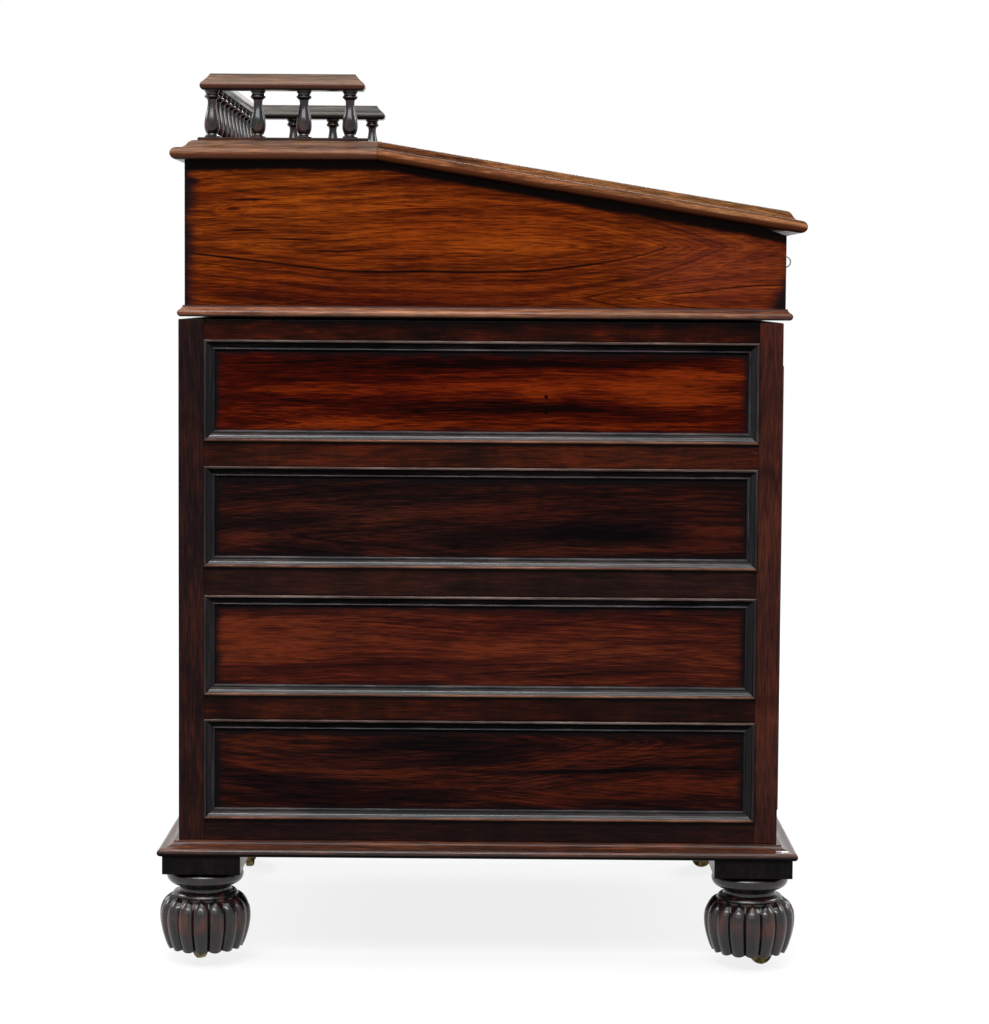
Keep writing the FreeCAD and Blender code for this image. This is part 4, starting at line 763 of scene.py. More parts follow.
PAD_TONES = ((8, 7, 9), (20, 16, 18), (40, 24, 22))
FOOT_TONES = ((6, 4, 5), (20, 11, 10), (80, 34, 21))
pad_wood = dark_polish("foot_pad_wood", PAD_TONES, 0.04, 0.25, (0.1, 0.01, 0.0))
foot_wood = dark_polish("foot_wood", FOOT_TONES, 0.48, 0.24, (0.046, 0.014, 0.10))
COLLAR = traced([
    (1.0, 98.5), (33.5, 98.5), (34.5, 97.3), [(38.6, 95.0), (39.4, 91.4)], [(37.6, 86.6), (29.6, 82.8)],
    (27.6, 81.0), [(26.5, 78.6), (26.9, 76.3)], (28.2, 75.4), [(32.3, 74.0), (33.7, 71.6)], (33.2, 70.9),
    (34.6, 70.4), (34.6, 66.0), (1.0, 66.0),
])
REED_CROWN = np.array([
    (16.4, 38.2), (21.3, 40.7), (26.5, 42.5), (31.8, 44.1), (37.0, 45.3), (42.2, 46.2), (47.5, 46.6),
    (52.7, 46.5), (57.9, 45.8), (63.2, 43.6), (67.3, 40.5), (69.4, 38.2), (71.2, 35.0),
]) / 1000
REEDS, STEPS_PER_REED = 16, 16
REED_DEPTH, ARCH_START, ARCH_RISE = 0.0044, 0.0600, 0.0104
BUN_LOW, BUN_TOP = 0.0164, 0.0712


def lathe(outline, around):
    """An outline (radius, level) turned about an upright axis: point = (r cos t, r sin t, level)."""
    turn = np.linspace(0, 2 * math.pi, around, endpoint=False)
    ring = np.stack((np.cos(turn), np.sin(turn), 0 * turn), 1)
    return solid_between(outline[:, None, :1] * ring + np.array(UP) * outline[:, None, 1:])


def moved(shell, place, turn=np.eye(3)):
    """A shell turned about the origin, then moved to a place."""
    return shell[0] @ np.array(turn).T + np.array(place), shell[1]


def reeded_bun():
    """The bun: at height z and turn t a lobe stands out from its grooves as a shallow arc, and the
    grooves are cut in between as a narrow V. Near the top each lobe narrows as an arch does and a
    fine lip runs round the arch. The lobes' lower ends hang below the grooves' ends."""
    share = np.linspace(0, 1, 40)[:, None] ** 0.9
    turn = np.linspace(0, 2 * math.pi, REEDS * STEPS_PER_REED, endpoint=False)[None]
    z = BUN_LOW + share * (BUN_TOP - BUN_LOW)
    crown = np.interp(z, REED_CROWN[:, 0], REED_CROWN[:, 1])
    off_centre = 2 * np.abs((turn * REEDS / (2 * math.pi) + 0.5) % 1 - 0.5)
    width = np.sqrt(np.clip(1 - (np.clip(z - ARCH_START, 0, None) / ARCH_RISE) ** 2, 0.0, 1))
    across = off_centre / np.maximum(width, 1e-3)
    lobe = np.clip(1 - across**2, 0, 1) ** 0.62
    lip = 0.22 * np.clip(1 - np.abs(across - 1.12) / 0.10, 0, 1) * (z > ARCH_START)
    depth = REED_DEPTH * (0.45 + 0.55 * np.clip(share / 0.10, 0, 1) ** 0.5)
    radius = crown - depth + depth * np.maximum(lobe, lip)
    hang = 0.0022 * (off_centre**2) * np.clip(1 - share / 0.2, 0, 1)
    rows = np.stack((radius * np.cos(turn), radius * np.sin(turn), z + hang), -1)
    flat_ring = np.stack((np.cos(turn[0]), np.sin(turn[0]), 0 * turn[0]), 1)
    inner = [(0.007, 0.044), (0.029, 0.044), (0.029, 0.0185), (0.0345, 0.0178)]
    under = np.array([r * flat_ring + (0, 0, level) for r, level in inner])
    return solid_between(np.concatenate((under, rows, [0.004 * flat_ring + (0, 0, BUN_TOP)])))


PAD_HALF, PAD_LOW, PAD_HIGH = 0.03975, 0.0985, 0.1175
collar, bun = lathe(COLLAR, 64), reeded_bun()
pad = board((-PAD_HALF, -PAD_HALF, PAD_LOW), (PAD_HALF, PAD_HALF, PAD_HIGH))
for corner, place in FOOT_PLACES.items():
    for part, shell, wood, edges in (
        ("pad", pad, pad_wood, {"ease": 0.0008}), ("collar", collar, foot_wood, {}),
        ("bun", bun, foot_wood, {"crease": 60}),
    ):
        shells = [(moved(shell, (*place, 0)), 0)]
        made("foot_%s_%s" % (part, corner), "case", "ebonised_rosewood", shells, [wood], "feet", **edges)


# ---- Castors ----
# Small cast brass castors let into the feet: a flanged socket, a forked horn that swivels in it,
# and a wheel with a rounded tread, all dull with age.
def old_metal(name, bright, dull, roughness):
    """Cast metal with tarnish: two noises mix a bright tone and a dull one, and roughen it."""
    metal = Finish(name)
    place = metal.object_place()
    cloud = metal.noise(place, 160.0, 4.0, 0.6)
    colour = metal.blended(metal.eased(cloud, 0.35, 0.65), tone(*bright), tone(*dull))
    rough = metal.eased(cloud, 0.3, 0.7, roughness, roughness + 0.22)
    return metal.coat(colour, rough, metal.noise(place, 900.0, 3.0), (0.3, 0.0002), metallic=1.0)


castor_brass = old_metal("castor_brass", (118, 104, 62), (34, 30, 20), 0.35)
refinished(castor_brass, "castor_sockets")
WHEEL = traced([
    (2.1, -5.0), (6.0, -5.0), (6.4, -4.4), (8.6, -4.4), (9.0, -4.9), (10.8, -4.5), (11.7, -3.4),
    (12.0, -1.4), (12.0, 1.4), (11.7, 3.4), (10.8, 4.5), (9.0, 4.9), (8.6, 4.4), (6.4, 4.4), (6.0, 5.0),
    (2.1, 5.0),
])
HEADINGS = {"back_left": 120.0, "front_left": 22.0, "back_right": -78.0, "front_right": 176.0}
AXLE_LEVEL = 0.012
for place, heading in HEADINGS.items():
    refinished(castor_brass, "castor_horn_" + place)
    node = "castor_wheel_" + place
    middle = sum(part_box(node), Vector()) / 2
    axle = Matrix.Rotation(math.radians(heading), 3, "Z") @ Matrix.Rotation(math.radians(90), 3, "Y")
    wheel = moved(lathe(WHEEL, 40), (middle.x, middle.y, AXLE_LEVEL), axle)
    made("castor_roller_" + place, "wheel_" + place, "brass", [(wheel, 0)], [castor_brass], node)


# ---- Drawers ----
# Four real drawers on the right: fronts like the dummy ones, dovetailed boxes of lining timber,
# and two turned mushroom knobs each.
KNOB = traced([
    (5.0, -15.5), (5.0, 0.0), (9.8, 0.0), (9.8, 1.8), [(7.35, 6.5), (10.5, 12.0)], (16.1, 14.6),
    [(17.5, 17.2), (14.0, 22.4)], [(7.3, 25.1), (0.5, 26.0)],
])
KNOB_SPACING = 0.300
knob_wood = dark_polish("knob_wood", ((12, 8, 9), (34, 20, 18), (90, 42, 26)), 0.22, 0.2, (0.4, 0.3, 0.03))
LAID_OVER = Vector(UP).rotation_difference(Vector((1, 0, 0))).to_matrix()
for number in range(4):
    name = "drawer_%d" % (number + 1)
    drawer_front(name + "_face", name, name + "_front", 1, number)
    refinished(lining["X"], name + "_box")
    low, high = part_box(name + "_front")
    seat_x, middle = high.x - MOULDING_RISE, (low + high) / 2
    places = [(seat_x, middle.y + way * KNOB_SPACING / 2, middle.z) for way in (-1, 1)]
    shells = [(moved(lathe(KNOB, 56), place, LAID_OVER), 0) for place in places]
    made(name + "_turned_knobs", name, "ebonised_rosewood", shells, [knob_wood], name + "_knobs")


# ---- Writing box: sides ----
# Two wide boards, level behind and falling with the lid in front. The left one shows a long
# flame of orange brown with black lines; its back, front and lower borders are dark, the back
# and front ones in a bluish dark of painted shade and reflection, and a black band of painted
# shadow lies under the top and the lid.
CREST_Y, CREST_Z = 0.1059, 0.82113
FALL_END_Y, FALL_END_Z = -0.3061, 0.74968
SIDE_BACK_Y, SIDE_LOW_Z = 0.2999, 0.6645
SIDE_OUTLINE = np.array((
    (SIDE_BACK_Y, SIDE_LOW_Z), (FALL_END_Y, SIDE_LOW_Z), (FALL_END_Y, FALL_END_Z), (-0.2821, 0.75808),
    (CREST_Y, CREST_Z), (CREST_Y, 0.8217), (SIDE_BACK_Y, 0.8217),
))
BOX_WALL = 0.014
SIDE_FALL = (CREST_Z - FALL_END_Z) / (CREST_Y - FALL_END_Y)
# The rims: a bluish dark along the back and front borders, painted shade and reflection; a darker lower
# border; and a black band of painted shadow under the overhang of the fixed top and lid.
BOX_SIDE_RIMS = (
    ((((0, -1, 0), SIDE_BACK_Y), ((0, 1, 0.35), -FALL_END_Y - 0.35 * 0.70)), 0.013, (14, 11, 15)),
    rim(UP, -0.6700, 0.004, (30, 14, 12)),
    (((DOWN, 0.8138), ((0, SIDE_FALL, -1), 0.8155 - SIDE_FALL * CREST_Y)), 0.004, (1, 0, 0)),
)
BOX_SIDE_LOOKS = dict(
    tones=((38, 7, 1), (94, 34, 5), (144, 64, 12)),
    hearts=(
        (-0.0077, 0.0, 0.738, 0.39, 9, 0.0275, 0.449), (-0.32, 0.0, 0.684, 0.17, 9, 0.014, 1),
        (0.022, 0.0, 0.755, 0.016, 9, 0.006, 1), (0.242, 0.0, 0.774, 0.016, 9, 0.005, 1),
    ),
    rings=((1.095, 0.075, 1.0), (1.80, 0.04, 0.35), (0.85, 0.02, 0.5), (1.40, 0.035, 0.7)),
    patches=(
        ((0.16, 0, 0.78), (0.12, 9, 0.030), 0.05), ((0.0, 0, 0.745), (0.16, 9, 0.025), 0.06),
        ((0.20, 0, 0.685), (0.14, 9, 0.016), -0.05), ((0.02, 0, 0.676), (0.25, 9, 0.010), -0.03),
        ((-0.24, 0, 0.71), (0.10, 9, 0.05), 0.02), ((0.242, 0, 0.774), (0.010, 9, 0.003), -0.10),
        ((0.288, 0, 0.803), (0.014, 9, 0.004), -0.22), ((0.225, 0, 0.783), (0.030, 9, 0.0014), -0.16),
        ((0.200, 0, 0.765), (0.025, 9, 0.0012), -0.14), ((0.15, 0, 0.735), (0.040, 9, 0.0012), -0.14),
        ((0.19, 0, 0.745), (0.030, 9, 0.0012), -0.14), ((0.23, 0, 0.752), (0.020, 9, 0.0012), -0.14),
    ),
    hazes=(
        ((-0.24, 0, 0.715), (0.10, 9, 0.05), (112, 46, 34), 0.4),
        ((0.08, 0, 0.69), (0.20, 9, 0.018), (84, 18, 6), 0.4),
    ),
    pores=0.5, polish=(0.03, 0.22),
)


def carved(piece, low, high, turn_over=None):
    """A box-shaped recess cut out of a piece with a Boolean, worked into its mesh at once."""
    points, faces = board(low, high)
    if turn_over is not None:
        points = turn_over(points)
    cutter = shaped("cutter", points, faces)
    cut = piece.modifiers.new("recess", "BOOLEAN")
    cut.operation, cut.solver, cut.object = "DIFFERENCE", "EXACT", cutter
    others = [modifier for modifier in piece.modifiers if modifier != cut]
    for other in others:
        other.show_viewport = False
    result = bpy.data.meshes.new_from_object(piece.evaluated_get(bpy.context.evaluated_depsgraph_get()))
    piece.modifiers.remove(cut)
    for other in others:
        other.show_viewport = True
    piece.data = result
    bpy.data.objects.remove(cutter)


box_low, box_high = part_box("box_left_side")[0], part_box("box_right_side")[1]
box_sides = {}
for side, x, hand in (("left", box_low.x, -1), ("right", box_high.x - BOX_WALL, 1)):
    ends = [np.full((len(SIDE_OUTLINE), 1), end) for end in (x, x + BOX_WALL)]
    rows = np.stack([np.concatenate((end, SIDE_OUTLINE), 1) for end in ends])
    name = "box_side_" + side
    wood = rosewood(name + "_wood", "Y", shift=0.2 * hand, rims=BOX_SIDE_RIMS, **BOX_SIDE_LOOKS)
    shells = [(solid_between(rows), 0)]
    node = "box_%s_side" % side
    box_sides[side] = made(name, "writing_box", "rosewood", shells, [wood], node, ease=0.0006)
PEN_PLAY, PEN_OVERCUT = 0.0003, 0.02
pen_low, pen_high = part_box("pen_drawer")
hole_low = (box_high.x - BOX_WALL - PEN_OVERCUT, pen_low.y - PEN_PLAY, pen_low.z - PEN_PLAY)
hole_high = (box_high.x + PEN_OVERCUT, pen_high.y + PEN_PLAY, pen_high.z + PEN_PLAY)
carved(box_sides["right"], hole_low, hole_high)


# ---- Writing box: ends and bottom ----
# Back and front boards between the sides and the thin bottom let in between them; the front is
# bored for the key and takes the escutcheon.
box_end_wood = rosewood("box_end_wood", "X", ((34, 10, 3), (80, 32, 12), (124, 60, 22)), shift=1.1)
refinished(box_end_wood, "box_back", "box_front")
refinished(lining["X"], "box_bottom")


# ---- Waist moulding ----
# A small nosed moulding mitred round the foot of the box, in a light brown, with painted shade
# under its nose and a darker band along its top fillet.
WAIST_EDGE = traced([
    (3.0, 0.0), [(0.0, 3.8), (3.0, 7.6)], (5.0, 10.0), (5.0, 11.5), (7.0, 11.5), (7.0, 0.0),
])
WAIST_TONES = ((70, 34, 20), (118, 72, 46), (164, 112, 78))
waist_low, waist_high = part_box("waist_moulding")
# Painted shade under the nose, and a darker band along the top fillet.
painted_nose_shade = rim(UP, -waist_low.z - 0.0010, 0.002, (40, 17, 9))
darker_fillet = rim(DOWN, waist_high.z - 0.0012, 0.0015, (64, 36, 32))
rims = (painted_nose_shade, darker_fillet)
waist_woods = both_ways("waist_wood", WAIST_TONES, shift=6.0, polish=(0.2, 0.2), rims=rims)
lengths = mitred_lengths(waist_low, LEVEL, waist_high - waist_low, WAIST_EDGE)
shells = [(solid_between(rows), along(side)) for side, rows in lengths.items()]
made("waist_lengths", "writing_box", "ebonised_rosewood", shells, waist_woods, "waist_moulding")
refinished(lining["Y"], "slide_battens")


# ---- Fixed top ----
# The level board behind the lid: mitred moulded lengths on three sides with a half-round nose, a
# cove and a soft upper round, and a field board between them, notched for the hinges.
TOP_MILLIMETRES = 20.3
TOP_STEPS = [
    (6.2, 0.0), [(0.0, 6.2), (6.2, 12.4)], [(12.6, 13.5), (16.2, 17.1)],
    [(19.3, 19.5), (23.6, TOP_MILLIMETRES)],
]
TOP_TONES = ((36, 14, 8), (78, 36, 20), (120, 66, 36))
# The nose takes the palest tones, a painted highlight on it.
TOP_EDGE_TONES = {
    "nose": ((80, 46, 26), (130, 86, 54), (166, 120, 80)),
    "hollow": ((48, 24, 12), (98, 62, 34), (146, 100, 60)),
    "flat": TOP_TONES,
}


def edge_woods(name, way, offset, polish):
    """Six finishes of a moulded edge: nose, hollow and flat, each along X and Y. way and offset give
    the plane of the edge's lower side. The nose takes the palest tones, a painted highlight, and is
    painted in shade below its middle, darkest at its underside, and in the quirk over it; the
    hollow is dark along its upper arris."""
    back_way = tuple(-share for share in way)
    # Painted shade on the nose below its middle, at its underside and in the quirk; a dark line along the
    # hollow's upper arris.
    dark_zones = {
        "nose": (
            rim(way, offset - 0.0051, 0.0015, (80, 40, 22)), rim(way, offset, 0.002, (22, 10, 7)),
            rim(back_way, 0.0117 - offset, 0.002, (62, 38, 24)),
        ),
        "hollow": (rim(back_way, 0.0202 - offset, 0.0014, (56, 44, 36)),),
        "flat": (),
    }
    woods = []
    for zone, tones in TOP_EDGE_TONES.items():
        looks = dict(shift=8.0, figure=(1.4, 1.6), polish=polish, rims=dark_zones[zone])
        woods += both_ways("%s_%s" % (name, zone), tones, **looks)
    return woods


def edge_finishes(outline, side):
    """Finish numbers of one edge length's faces: nose, hollow or flat, with the side's own grain.
    The outline has 7 steps round the nose and 14 up the hollow."""
    zones = [0 if face < 7 else 2 if face < 21 else 4 for face in range(len(outline))]
    return [zone + along(side) for zone in zones + [4, 4]]


top_low, top_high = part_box("fixed_top")
top_edge_woods = edge_woods("top_edge", UP, -top_low.z, (0.13, 0.28))
TOP_LENGTH_WIDTH = 27.0
edge = traced(TOP_STEPS + [(TOP_LENGTH_WIDTH, TOP_MILLIMETRES), (TOP_LENGTH_WIDTH, 0.0)])
lengths = mitred_lengths(top_low, LEVEL, top_high - top_low, edge, "ENW")
shells = [(solid_between(lengths[side]), edge_finishes(edge, side)) for side in "ENW"]
made("top_edge", "writing_box", "rosewood", shells, top_edge_woods, "fixed_top")
TOP_HEART = (0.0, 0, 0.9, 0.5, 0.08, 0.1, 1)
top_wood = rosewood("top_field_wood", "X", TOP_TONES, (TOP_HEART,), 2.2, polish=(0.05, 0.3))
inset = TOP_LENGTH_WIDTH / 1000
field_high = (top_high.x - inset, top_high.y - inset, top_high.z)
shells = [(board((top_low.x + inset, top_low.y, top_low.z), field_high), 0)]
top_field = made("top_field", "writing_box", "rosewood", shells, [top_wood], "fixed_top")
HINGE_LINE = np.array((0.0, top_low.y, top_high.z))
HINGE_SPANS = ((-0.180, -0.120), (0.120, 0.180))
KNUCKLE_ROOM, END_PLAY, LEAF_DEPTH, OVERCUT = 0.0035, 0.0003, 0.015, 0.01


def hinge_notches(piece, inward, leaf_room):
    """Two recesses for each hinge: one for its knuckle, and a deeper, thinner one for its leaf.
    inward is 1 behind the hinge line and -1 before it."""
    for start, end in HINGE_SPANS:
        for play, room, depth in ((END_PLAY, KNUCKLE_ROOM, KNUCKLE_ROOM), (0.0, leaf_room, LEAF_DEPTH)):
            reach = sorted(HINGE_LINE[1] + inward * step for step in (-OVERCUT, room))
            low = (start - play, reach[0], HINGE_LINE[2] - depth)
            carved(piece, low, (end + play, reach[1], HINGE_LINE[2] + OVERCUT))


hinge_notches(top_field, 1, 0.0015)


# ---- Gallery strip ----
# A thin bevelled strip round three sides of the top that the spindles are pegged into.
def three_sides(low, high, width, outline):
    """A moulding round the back and both sides, with its outline on every edge. At each point of
    the outline the level plan is a U: the same inset from its eight borders. The rings of eight
    corners are joined upwards and closed below and above by three quads each. Returns the shell
    and the finish of each face: 0 at the back, 1 on the left and 2 on the right."""
    inset, rise = outline[:, 0], outline[:, 1]
    left, right, back = low.x + width, high.x - width, high.y - width
    x = np.array([low.x, low.x, high.x, high.x, right, right, left, left])
    y = np.array([low.y, high.y, high.y, low.y, low.y, back, back, low.y])
    sides = np.array([(1, 1), (1, -1), (-1, -1), (-1, 1), (1, 1), (1, 1), (-1, 1), (-1, 1)], float)
    plan = np.stack((x + inset[:, None] * sides[:, 0], y + inset[:, None] * sides[:, 1]), -1)
    rows = np.concatenate((plan, np.broadcast_to((low.z + rise)[:, None, None], (len(inset), 8, 1))), -1)
    points, faces = solid_between(rows, closed=False)
    sides_of_faces = [1, 0, 2, 2, 2, 0, 1, 1] * (len(inset) - 1)
    last = 8 * (len(inset) - 1)
    for base in (0, last):
        for face, side in (((0, 1, 6, 7), 1), ((1, 2, 5, 6), 0), ((2, 3, 4, 5), 2)):
            faces.append([base + corner for corner in face])
            sides_of_faces.append(side)
    return (points, faces), sides_of_faces


STRIP_EDGE = traced([(0.0, 0.0), (0.0, 2.2), (1.0, 3.2)])
STRIP_WIDTH = 0.0268
STRIP_TONES = ((12, 8, 8), (28, 18, 16), (70, 42, 30))
strip_woods = both_ways("strip_wood", STRIP_TONES, shift=3.3, polish=(0.14, 0.2))
strip_woods.append(strip_woods[1])
shells = [three_sides(*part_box("gallery_strip"), STRIP_WIDTH, STRIP_EDGE)]
made("gallery_strip_lengths", "writing_box", "rosewood", shells, strip_woods, "gallery_strip")


# ---- Gallery spindles ----
# Eighteen small turned balusters: a foot ring, a bulb, a tapering neck, an upper ring and a
# flared head, pegged into the strip and the rail.
SPINDLE = traced([
    (0.5, 0.0), (7.5, 0.0), (7.7, 0.9), (7.5, 1.9), (5.9, 3.0), (5.6, 4.2), [(7.4, 8.6), (7.9, 12.6)],
    [(7.5, 18.2), (6.6, 23.0)], [(5.0, 30.0), (4.35, 35.4)], (4.8, 38.6), (6.9, 40.4),
    [(7.7, 41.7), (6.9, 43.0)], (6.2, 44.0), [(6.7, 45.6), (7.6, 46.8)], (7.6, 48.0), (0.5, 48.0),
], 5)
SPINDLE_TONES = ((7, 6, 7), (18, 12, 11), (74, 34, 20))
spindle_wood = dark_polish("spindle_wood", SPINDLE_TONES, 0.42, 0.18, (0.856, 0.007, 0.05))
ROW_X, BACK_ROW_Y, FRONT_END_Y = 0.2235, 0.2749, 0.1351
places = [(-ROW_X + 2 * ROW_X * index / 11, BACK_ROW_Y) for index in range(12)]
for index in (1, 2, 3):
    y = BACK_ROW_Y + (FRONT_END_Y - BACK_ROW_Y) * index / 3
    places += [(-ROW_X, y), (ROW_X, y)]
baluster = lathe(SPINDLE, 32)
seat_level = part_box("gallery_spindles")[0].z
shells = [(moved(baluster, (x, y, seat_level)), 0) for x, y in places]
made("gallery_balusters", "writing_box", "ebonised_rosewood", shells, [spindle_wood], "gallery_spindles")


# ---- Gallery rail ----
# The moulded hand rail on the spindles: a round nose below and a hollow chamfer up to a flat,
# the same on both edges, mitred at the back corners and returned at the front ends. A paler band
# along the top of the nose is a painted highlight, and the nose is painted in shade below it.
RAIL_EDGE = traced([(2.4, 0.0), [(0.0, 4.2), (2.4, 8.4)], [(6.4, 12.3), (9.8, 16.7)]])
RAIL_WIDTH = 0.023
# Each side: its grain, its tones, the tone of a painted highlight along the top of the nose and the tone of
# the painted shade under it. The back and right lengths take greyer, darker tones.
GALLERY_LOOKS = (
    ("back", "X", ((44, 36, 30), (92, 78, 66), (132, 116, 102)), (96, 88, 78), (40, 30, 24)),
    ("left", "Y", ((54, 34, 20), (96, 68, 44), (138, 104, 72)), (112, 84, 64), (70, 34, 20)),
    ("right", "Y", ((28, 26, 25), (58, 54, 49), (98, 93, 86)), (88, 82, 74), (30, 27, 24)),
)
rail_low, rail_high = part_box("gallery_rail")
gallery_woods = []
for side, axis, tones, paler_band, painted_nose_shade in GALLERY_LOOKS:
    # Rims: the painted highlight, the painted shade under the nose, darker still at its underside, and a
    # dark line along the upper arris.
    rims = (
        rim(UP, -rail_low.z - 0.0070, 0.0012, paler_band), rim(UP, -rail_low.z - 0.0048, 0.0018, painted_nose_shade),
        rim(UP, -rail_low.z, 0.003, (16, 8, 6)), rim(DOWN, rail_high.z + 0.0001, 0.0022, (50, 42, 36)),
    )
    looks = dict(shift=5.6, figure=(1.4, 1.6), polish=(0.12, 0.22), rims=rims)
    gallery_woods.append(rosewood("gallery_rail_wood_" + side, axis, tones, **looks))
shells = [three_sides(rail_low, rail_high, RAIL_WIDTH, RAIL_EDGE)]
made("gallery_rail_lengths", "writing_box", "rosewood", shells, gallery_woods, "gallery_rail")


# ---- Lid ----
# The sloped writing lid, moulded like the fixed top on its sides and front: three wide mitred
# lengths frame the leather, a strip takes the hinges, and a core board lies under the leather.
SLOPE = math.radians(9.23)
LID_LENGTH = 0.4397
LID_GAP = 0.0003
LEATHER_FRAME = 55.6
LEATHER_START, LEATHER_THICKNESS = 0.034, 0.001
TOP_METRES = TOP_MILLIMETRES / 1000


def on_slope(points):
    """From lid coordinates (x, distance down the slope, height over the top surface) to the frame:
    point = hinge line + x across + f (0, -cos s, -sin s) + n (0, -sin s, cos s)."""
    sine, cosine = math.sin(SLOPE), math.cos(SLOPE)
    turn = np.array(((1, 0, 0), (0, -cosine, -sine), (0, -sine, cosine)))
    return points @ turn + HINGE_LINE


def ended_upright(points):
    """Puts the upper end of a lid piece on the upright plane at the hinge line."""
    points[:, 1] = LID_GAP - points[:, 2] * math.tan(SLOPE)
    return points


lid_edge = traced(TOP_STEPS + [(LEATHER_FRAME, TOP_MILLIMETRES), (LEATHER_FRAME, 0.0)])
half_lid = top_high.x
ways = ((1, 0, 0), (0, -1, 0), (0, 0, 1))
corner = (-half_lid, LID_LENGTH, -TOP_METRES)
lengths = mitred_lengths(corner, ways, (2 * half_lid, LID_LENGTH), lid_edge, "SEW")
lid_up = Vector((0, -math.sin(SLOPE), math.cos(SLOPE)))
lid_edge_woods = edge_woods("lid_edge", lid_up, TOP_METRES - lid_up.dot(HINGE_LINE), (0.01, 0.32))
lid_pieces = {}
for side in "SWE":
    if side != "S":
        lengths[side][1] = ended_upright(lengths[side][1])
    points, faces = solid_between(lengths[side])
    shells = [((on_slope(points), faces), edge_finishes(lid_edge, side))]
    lid_pieces[side] = made("lid_length_" + side, "lid", "rosewood", shells, lid_edge_woods, "lid_board")
frame_inset = LEATHER_FRAME / 1000
half_x, leather_end = half_lid - frame_inset, LID_LENGTH - frame_inset
lid_wood = rosewood("lid_wood", "X", TOP_TONES, shift=4.9)
strip, faces = board((-half_x, LID_GAP, -TOP_METRES), (half_x, LEATHER_START, 0.0))
upper_end = strip[:, 1] < LEATHER_START
strip[upper_end] = ended_upright(strip[upper_end])
shells = [((on_slope(strip), faces), 0)]
hinge_strip = made("lid_hinge_strip", "lid", "rosewood", shells, [lid_wood], "lid_board")
core, faces = board((-half_x, LEATHER_START, -TOP_METRES), (half_x, leather_end, -LEATHER_THICKNESS))
made("lid_core", "lid", "rosewood", [((on_slope(core), faces), 0)], [lid_wood], "lid_board")
hinge_notches(hinge_strip, -1, 0.0018)
KEEP_RECESSES = ((0.018, 0.3925, 0.4105, 0.0015 - TOP_METRES), (0.010, 0.3970, 0.4060, -0.0065))
BELOW_LID = -0.03
for half_width, start, end, depth in KEEP_RECESSES:
    carved(lid_pieces["S"], (-half_width, start, BELOW_LID), (half_width, end, depth), on_slope)


# ---- Writing leather ----
# A thin dark green skin let into the lid, with two tooled lines and a worn gilt one round it.
def hide(name, ground, worn, border_tone, middle_of, half):
    """Grained leather: a cell noise for the grain, slow clouds of wear, and a gilt line at a set
    distance from the borders."""
    skin = Finish(name)
    place = skin.object_place()
    cell = skin.put("TexVoronoi", {"Vector": place, "Scale": 900.0}, feature="SMOOTH_F1")
    cloud = skin.noise(place, 9.0, 4.0, 0.6)
    colour = skin.blended(skin.eased(cloud, 0.35, 0.7), tone(*ground), tone(*worn))
    away = skin.vector("ABSOLUTE", skin.vector("SUBTRACT", place, middle_of))
    inside = skin.vector("SUBTRACT", half, away)
    nearest = skin.reckon("MINIMUM", skin.part(inside, 0), skin.part(inside, 1))
    gilt = skin.eased(skin.apart(nearest, GILT_INSET), 0.0005, 0.0009, 0.85, 0.0)
    gilt = skin.reckon("MULTIPLY", gilt, skin.eased(cloud, 0.4, 0.6, 1.0, 0.5))
    colour = skin.blended(gilt, colour, tone(*border_tone))
    rough = skin.eased(cloud, 0.3, 0.7, 0.52, 0.46)
    return skin.coat(colour, rough, cell, (0.5, 0.0002), 0.07)


GILT_INSET = 0.0125
leather_low, leather_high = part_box("writing_leather")
leather_half = (leather_high - leather_low) / 2
green_hide = hide(
    "green_leather", (22, 38, 26), (44, 58, 36), (150, 118, 58), (leather_low + leather_high) / 2,
    (leather_half.x, leather_half.y, 1.0),
)
LINES_IN, LINE_WIDTH, LINE_DEPTH = (0.006, 0.009), 0.0009, 0.00035
EDGE_ROLL, EDGE_DROP = 0.001, 0.0004


def tooled_positions(low, high):
    """Positions across the skin with four at each tooled line, and an even spread between."""
    near = [low] + [low + inset + step * LINE_WIDTH for inset in LINES_IN for step in (-1, -0.3, 0.3, 1)]
    far = [low + high - value for value in near[::-1]]
    return np.array(near + np.linspace(low + 0.02, high - 0.02, 12).tolist() + far)


grid_x, grid_f = np.meshgrid(tooled_positions(-half_x, half_x), tooled_positions(LEATHER_START, leather_end))
border = np.minimum(half_x - np.abs(grid_x), np.minimum(grid_f - LEATHER_START, leather_end - grid_f))
sunk = sum(np.clip(1 - np.abs(border - inset) / LINE_WIDTH, 0, 1) for inset in LINES_IN) * LINE_DEPTH
sunk += EDGE_DROP * np.clip(1 - border / EDGE_ROLL, 0, 1)
skin_points = on_slope(np.stack((grid_x, grid_f, -sunk), -1).reshape(-1, 3))
shells = [((skin_points, woven(grid_x.shape)), 0)]
leather = made("leather_skin", "lid", "leather", shells, [green_hide], "writing_leather")
thick = leather.modifiers.new("thickness", "SOLIDIFY")
thick.thickness, thick.offset = LEATHER_THICKNESS * 0.6, -1.0


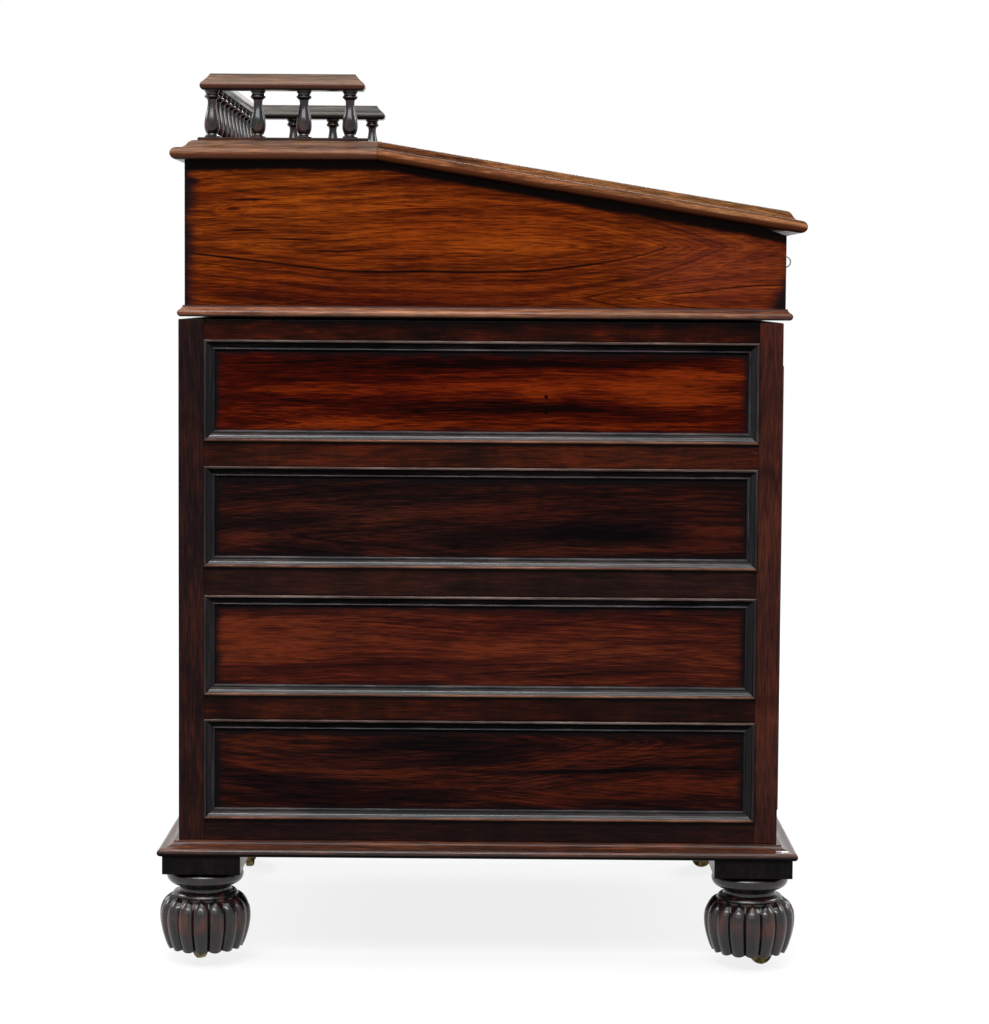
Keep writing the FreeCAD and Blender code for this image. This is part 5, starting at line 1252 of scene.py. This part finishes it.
# ---- Hinges, lock and key ----
# Brass butt hinges let into the crest, a brass till lock with its plate and keep, and a steel key
# with a round bow.
hinge_brass = old_metal("fitting_brass", (196, 164, 96), (120, 92, 48), 0.28)
refinished(hinge_brass, "top_hinge_leaves", "lid_hinge_leaves", "lid_lock_keep")
refinished(hinge_brass, "lock_case", "lock_escutcheon", "lock_bolt")
key_steel = old_metal("key_steel", (150, 148, 142), (84, 80, 76), 0.3)
KEY_LEVEL = 0.72648
BOW_CENTRE_Y, BOW_RADIUS, BOW_WIRE = -0.3317, 0.0059, 0.0007
SHANK_BACK_Y = -0.2846
SHANK_LENGTH = 1000 * (SHANK_BACK_Y - BOW_CENTRE_Y - BOW_RADIUS)
BIT_LOW, BIT_HIGH = (-0.0009, -0.2884, KEY_LEVEL - 0.007), (0.0009, -0.2848, KEY_LEVEL - 0.001)
turn = np.linspace(0, 2 * math.pi, 48, endpoint=False)[:, None]
round_wire = np.linspace(0, 2 * math.pi, 12, endpoint=False)[None]
reach = BOW_RADIUS + BOW_WIRE * np.cos(round_wire)
bow = np.stack((BOW_WIRE * np.sin(round_wire) + 0 * turn, reach * np.cos(turn), reach * np.sin(turn)), -1)
bow += (0, BOW_CENTRE_Y, KEY_LEVEL)
SHANK = traced([
    (0.2, 0.0), (2.0, 0.0), (2.0, 22.4), (3.0, 22.6), (3.0, 24.6), (2.0, 24.8), (1.9, 30.0), (2.5, 30.4),
    (2.5, 31.4), (1.7, 31.8), (1.3, SHANK_LENGTH), (0.2, SHANK_LENGTH),
])
LAID_FORWARD = ((1, 0, 0), (0, 0, -1), (0, 1, 0))
shank = moved(lathe(SHANK, 24), (0, SHANK_BACK_Y, KEY_LEVEL), LAID_FORWARD)
ring = (bow.reshape(-1, 3), woven(bow.shape[:2], (1, 1)))
shells = [(ring, 0), (shank, 0), (board(BIT_LOW, BIT_HIGH), 0)]
made("turned_key", "key", "steel", shells, [key_steel], "key")


# ---- Fitted interior ----
# Inside the box: a bank in polished maple with two small drawers and a false one, and the pen
# drawer that slides out of the right side with its two glass inkwells.
MAPLE_TONES = ((150, 104, 56), (180, 134, 80), (204, 160, 104))
maple = plain_timber("polished_maple", "X", MAPLE_TONES, (0.25, 0.3))
refinished(maple, "interior_bank", "interior_drawer_upper", "interior_drawer_lower")
refinished(rosewood("pen_drawer_wood", "Y", shift=0.2, **BOX_SIDE_LOOKS), "pen_drawer")
glass = Finish("inkwell_glass")
streaks = glass.noise(glass.object_place(), 60.0, 3.0)
clear = {
    "Base Color": glass.ramp(streaks, (0.3, 0.7), ((196, 220, 212), (228, 240, 236))),
    "Roughness": glass.eased(streaks, 0.3, 0.7, 0.02, 0.08), "Transmission Weight": 1.0, "IOR": 1.5,
}
refinished(glass.surface(glass.put("BsdfPrincipled", clear)), "inkwells")
